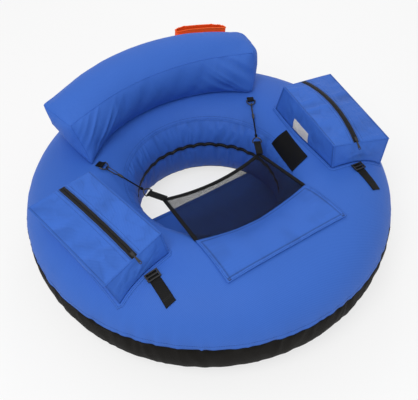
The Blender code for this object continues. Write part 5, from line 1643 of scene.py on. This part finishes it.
def make_pocket_top(word, side):
    arch = ZipArch(word, side)
    layer = 2 if word == "left" else 5
    prefix = word + "_pocket_"
    for half, edge_share in (("inner", 0), ("outer", 1)):

        def place(u, v, near=None, far=ZIP_TAPE + 0.0004):
            edge = pocket_point(edge_share, v, 1, side)
            line = arch.at(v)
            toward = (line - edge).normalized()
            start = (line - edge).length if near is None else near
            return line - toward * mix(u, start, far)

        points, u, v = laid(place, 48, 112)
        calm = np.clip(from_edge(u) / 0.10, 0, 1) * np.clip(from_edge(v) / 0.05, 0, 1)
        skew = 0.9 if word == "left" else 0.3
        large = facets(u * 1.6 + edge_share * 9, v * 4.2 + u * skew, layer)
        small = facets(u * 3.4 + edge_share * 5, v * (9 if word == "left" else 15) + u * skew, layer + 3)
        fold = 0.0026 * large - 0.0014 * np.exp(-np.abs(large) / 0.07)
        fold += 0.0009 * small - 0.0005 * np.exp(-np.abs(small) / 0.10)
        sagging = 0.0012 if word == "left" else 0.0034
        fold += sagging * creases(v * 8 + 0.6 * u + edge_share * 7, u * 0.5, layer + 1)
        fold *= calm
        upward = facing_up(points)
        points = raised(points, fold * upward)
        # Painted shade along the stitch line beside the zip and along the sewn rim, stored as the seam mask.
        stitch = ridge_at((1 - u) * HALF_TOP - 0.0035, 0.0018)
        rim = ridge_at(u * HALF_TOP - 0.003, 0.0030)
        lid = cloth_piece(
            prefix + "top_cloth_" + half, points, BLUE_CLOTH, fold / 0.003, stitch + 0.7 * rim,
            flip=upward < 0, wall=0.0010,
        )
        body = prefix + "lid_" + half
        settle(lid, body, body)
        stitch_shares = (1 - 0.0030 / HALF_TOP, 1 - 0.014 / HALF_TOP, 0.05)
        lines = [[place(share, s) for s in np.linspace(0.01, 0.99, 80)] for share in stitch_shares]
        dashes(prefix + "top_stitches_" + half, lid, lines, BLUE_THREAD)

        strip = surface(lambda u, v: place(u, v, ZIP_TAPE + 0.0008, 0.0007), 6, 80)
        tape_node = prefix + "zip_tape_" + half
        tape = cloth_piece(tape_node + "_cloth", strip, ZIP_CLOTH, flip=upward < 0, wall=THIN_WALL)
        settle(tape, body, tape_node)
        teeth_line = [place(0, s, 0.0016, 0.0016) for s in np.linspace(0.005, 0.995, 100)]
        tooth = (0.0013, 0.0030, 0.0013)
        dashes(prefix + "zip_teeth_" + half, tape, [teeth_line], ZIP_TEETH, pitch=0.0024, size=tooth)
    return arch


def make_pocket(word, side):
    walls, points = make_pocket_walls(word, side)
    make_pocket_flange(word, side, walls)
    arch = make_pocket_top(word, side)
    tree = tree_of(walls)
    across, along = WALL_CELLS
    for number, column in enumerate((0, across, across + along, 2 * across + along)):
        path = [Vector(p) for p in points[:, column]]
        seam_ridge(f"{word}_pocket_corner_{number}", walls, path, SEAM_RADIUS, BLUE_CLOTH, tree=tree)
    rim_path = [Vector(p) for p in points[-1]]
    seam_ridge(word + "_pocket_rim", walls, rim_path, 0.0018, BLUE_CLOTH, True, -0.3, tree=tree)
    print(word, "pocket, zip arch radius", round(arch.radius, 3))


for word, side in SIDES:
    make_pocket(word, side)

# %% [markdown]
# In front of each pocket a strap comes out of a ladder buckle and lies on the ring. Webbing this wide stays
# flat along its width and ends in a sewn fold.

# %% Pocket straps
STRAP_START, STRAP_END = (0.374, -0.288), (0.372, -0.392)
STRAP_HALF_WIDTH, STRAP_THICKNESS = 0.0155, 0.0016


def make_pocket_strap(word, side):
    start, end = (Vector((side * x, y, 0)) for x, y in (STRAP_START, STRAP_END))
    along = (end - start).normalized()
    across = Vector((-along.y, along.x, 0))

    def place(u, v):
        point = start.lerp(end, v) + across * (1 - 2 * u) * STRAP_HALF_WIDTH
        point.z = tube_top(point.x, point.y) + LAY_GAP / 2 + STRAP_THICKNESS
        return point + Vector((0, 0, 0.0009 * max(0, v - 0.86) / 0.14))

    points, u, v = laid(place, 12, 60)
    low = 0.0004 * soft_noise(v * 6, u, 4) + 0.0003 * np.cos(u * TURN * 5)
    upward = facing_up(points)
    points = raised(points, low * upward)
    strap = cloth_piece(word + "_strap_webbing", points, WEBBING, low / 0.0008, flip=upward < 0, wall=0.0015)
    settle(strap, "tube", word + "_pocket_strap")
    rows = [[place(u, v) for u in np.linspace(0.08, 0.92, 12)] for v in (0.80, 0.84, 0.97)]
    dashes(word + "_strap_stitches", strap, rows, BLACK_THREAD, 0.003)


for word, side in SIDES:
    make_pocket_strap(word, side)

# %% [markdown]
# A bare black tag of satin ribbon is sewn on the ring beside the right pocket, and a patch of looped pile is
# sewn on that pocket's inner wall. Both are thin sheets, the tag with a slight curl, the patch with a deep
# uneven nap.

# %% Tag and patch
# Radius and bearing of its corners, low and high on the ring, and how far its long edges are drawn in
# to run straight.
TAG = {"low": ((0.277, -36.5), (0.264, -0.5)), "high": ((0.328, -30.3), (0.315, -2.9))}
TAG_STRAIGHTEN, TAG_LIFT, TAG_HEM = 0.008, 0.0024, 0.06
PATCH_LIFT = 0.0016


def tag_place(u, v):
    low, high = ([mix(u, TAG[edge][0][i], TAG[edge][1][i]) for i in (0, 1)] for edge in ("low", "high"))
    radius, bearing = mix(v, low[0], high[0]), radians(mix(v, low[1], high[1]))
    radius -= TAG_STRAIGHTEN * u * (1 - u) * 4
    side, angle = upper_angle(radius)
    ring_radius, height = (float(x) for x in section(side, angle))
    ahead_radius, ahead_height = (float(x) for x in section(side, angle + 0.01))
    slope = Vector((ahead_radius - ring_radius, ahead_height - height)).normalized()
    ring_radius, height = ring_radius - slope.y * TAG_LIFT, height + slope.x * TAG_LIFT
    return Vector((ring_radius * cos(bearing), ring_radius * sin(bearing), height))


tag_points, u, v = laid(tag_place, 40, 24)
curl = 0.0020 * np.clip(1 - u / 0.2, 0, 1) ** 2 * v + 0.0007 * soft_noise(u * 4, v * 3, 8)
upward = facing_up(tag_points)
edge = np.minimum(from_edge(u), from_edge(v))
# The seam mask paints shade along the tag's hem.
tag = cloth_piece(
    "blank_tag_ribbon", raised(tag_points, curl * upward), TAG_CLOTH, curl / 0.002,
    ridge_at(edge - TAG_HEM, 0.02), flip=upward < 0, wall=0.0006,
)
settle(tag, "tube", "blank_tag")
dashes("tag_stitches", tag, hem_lines(tag_place, 0.04, TAG_HEM), BLACK_THREAD, 0.004)


def patch_place(u, v):
    point = pocket_point(0, mix(u, 0.665, 0.400), mix(v, 0.06, 0.45), 1)
    return point - Vector((0.0019, 0, 0))


wall_tree = tree_of(bpy.data.objects["right_pocket_wall_cloth"])
patch_points, u, v = laid(patch_place, 36, 24)
for row in patch_points:
    for k in range(len(row)):
        place, normal = wall_tree.find_nearest(Vector(row[k]))[:2]
        row[k] = tuple(place + Vector((-1, 0, 0.25)).normalized() * PATCH_LIFT)
nap = 0.0005 * soft_noise(u * 30, v * 18, 9)
inside_out = normals_of(patch_points)[12, 18, 0] > 0
patch_points = patch_points - np.array([1.0, 0, 0]) * nap[..., None]
patch = cloth_piece("loop_pile_patch", patch_points, LOOP_PILE, nap / 0.0008, flip=inside_out, wall=TAPE_WALL)
settle(patch, "tube", "hook_loop_patch")
print("tag and patch are sewn on")
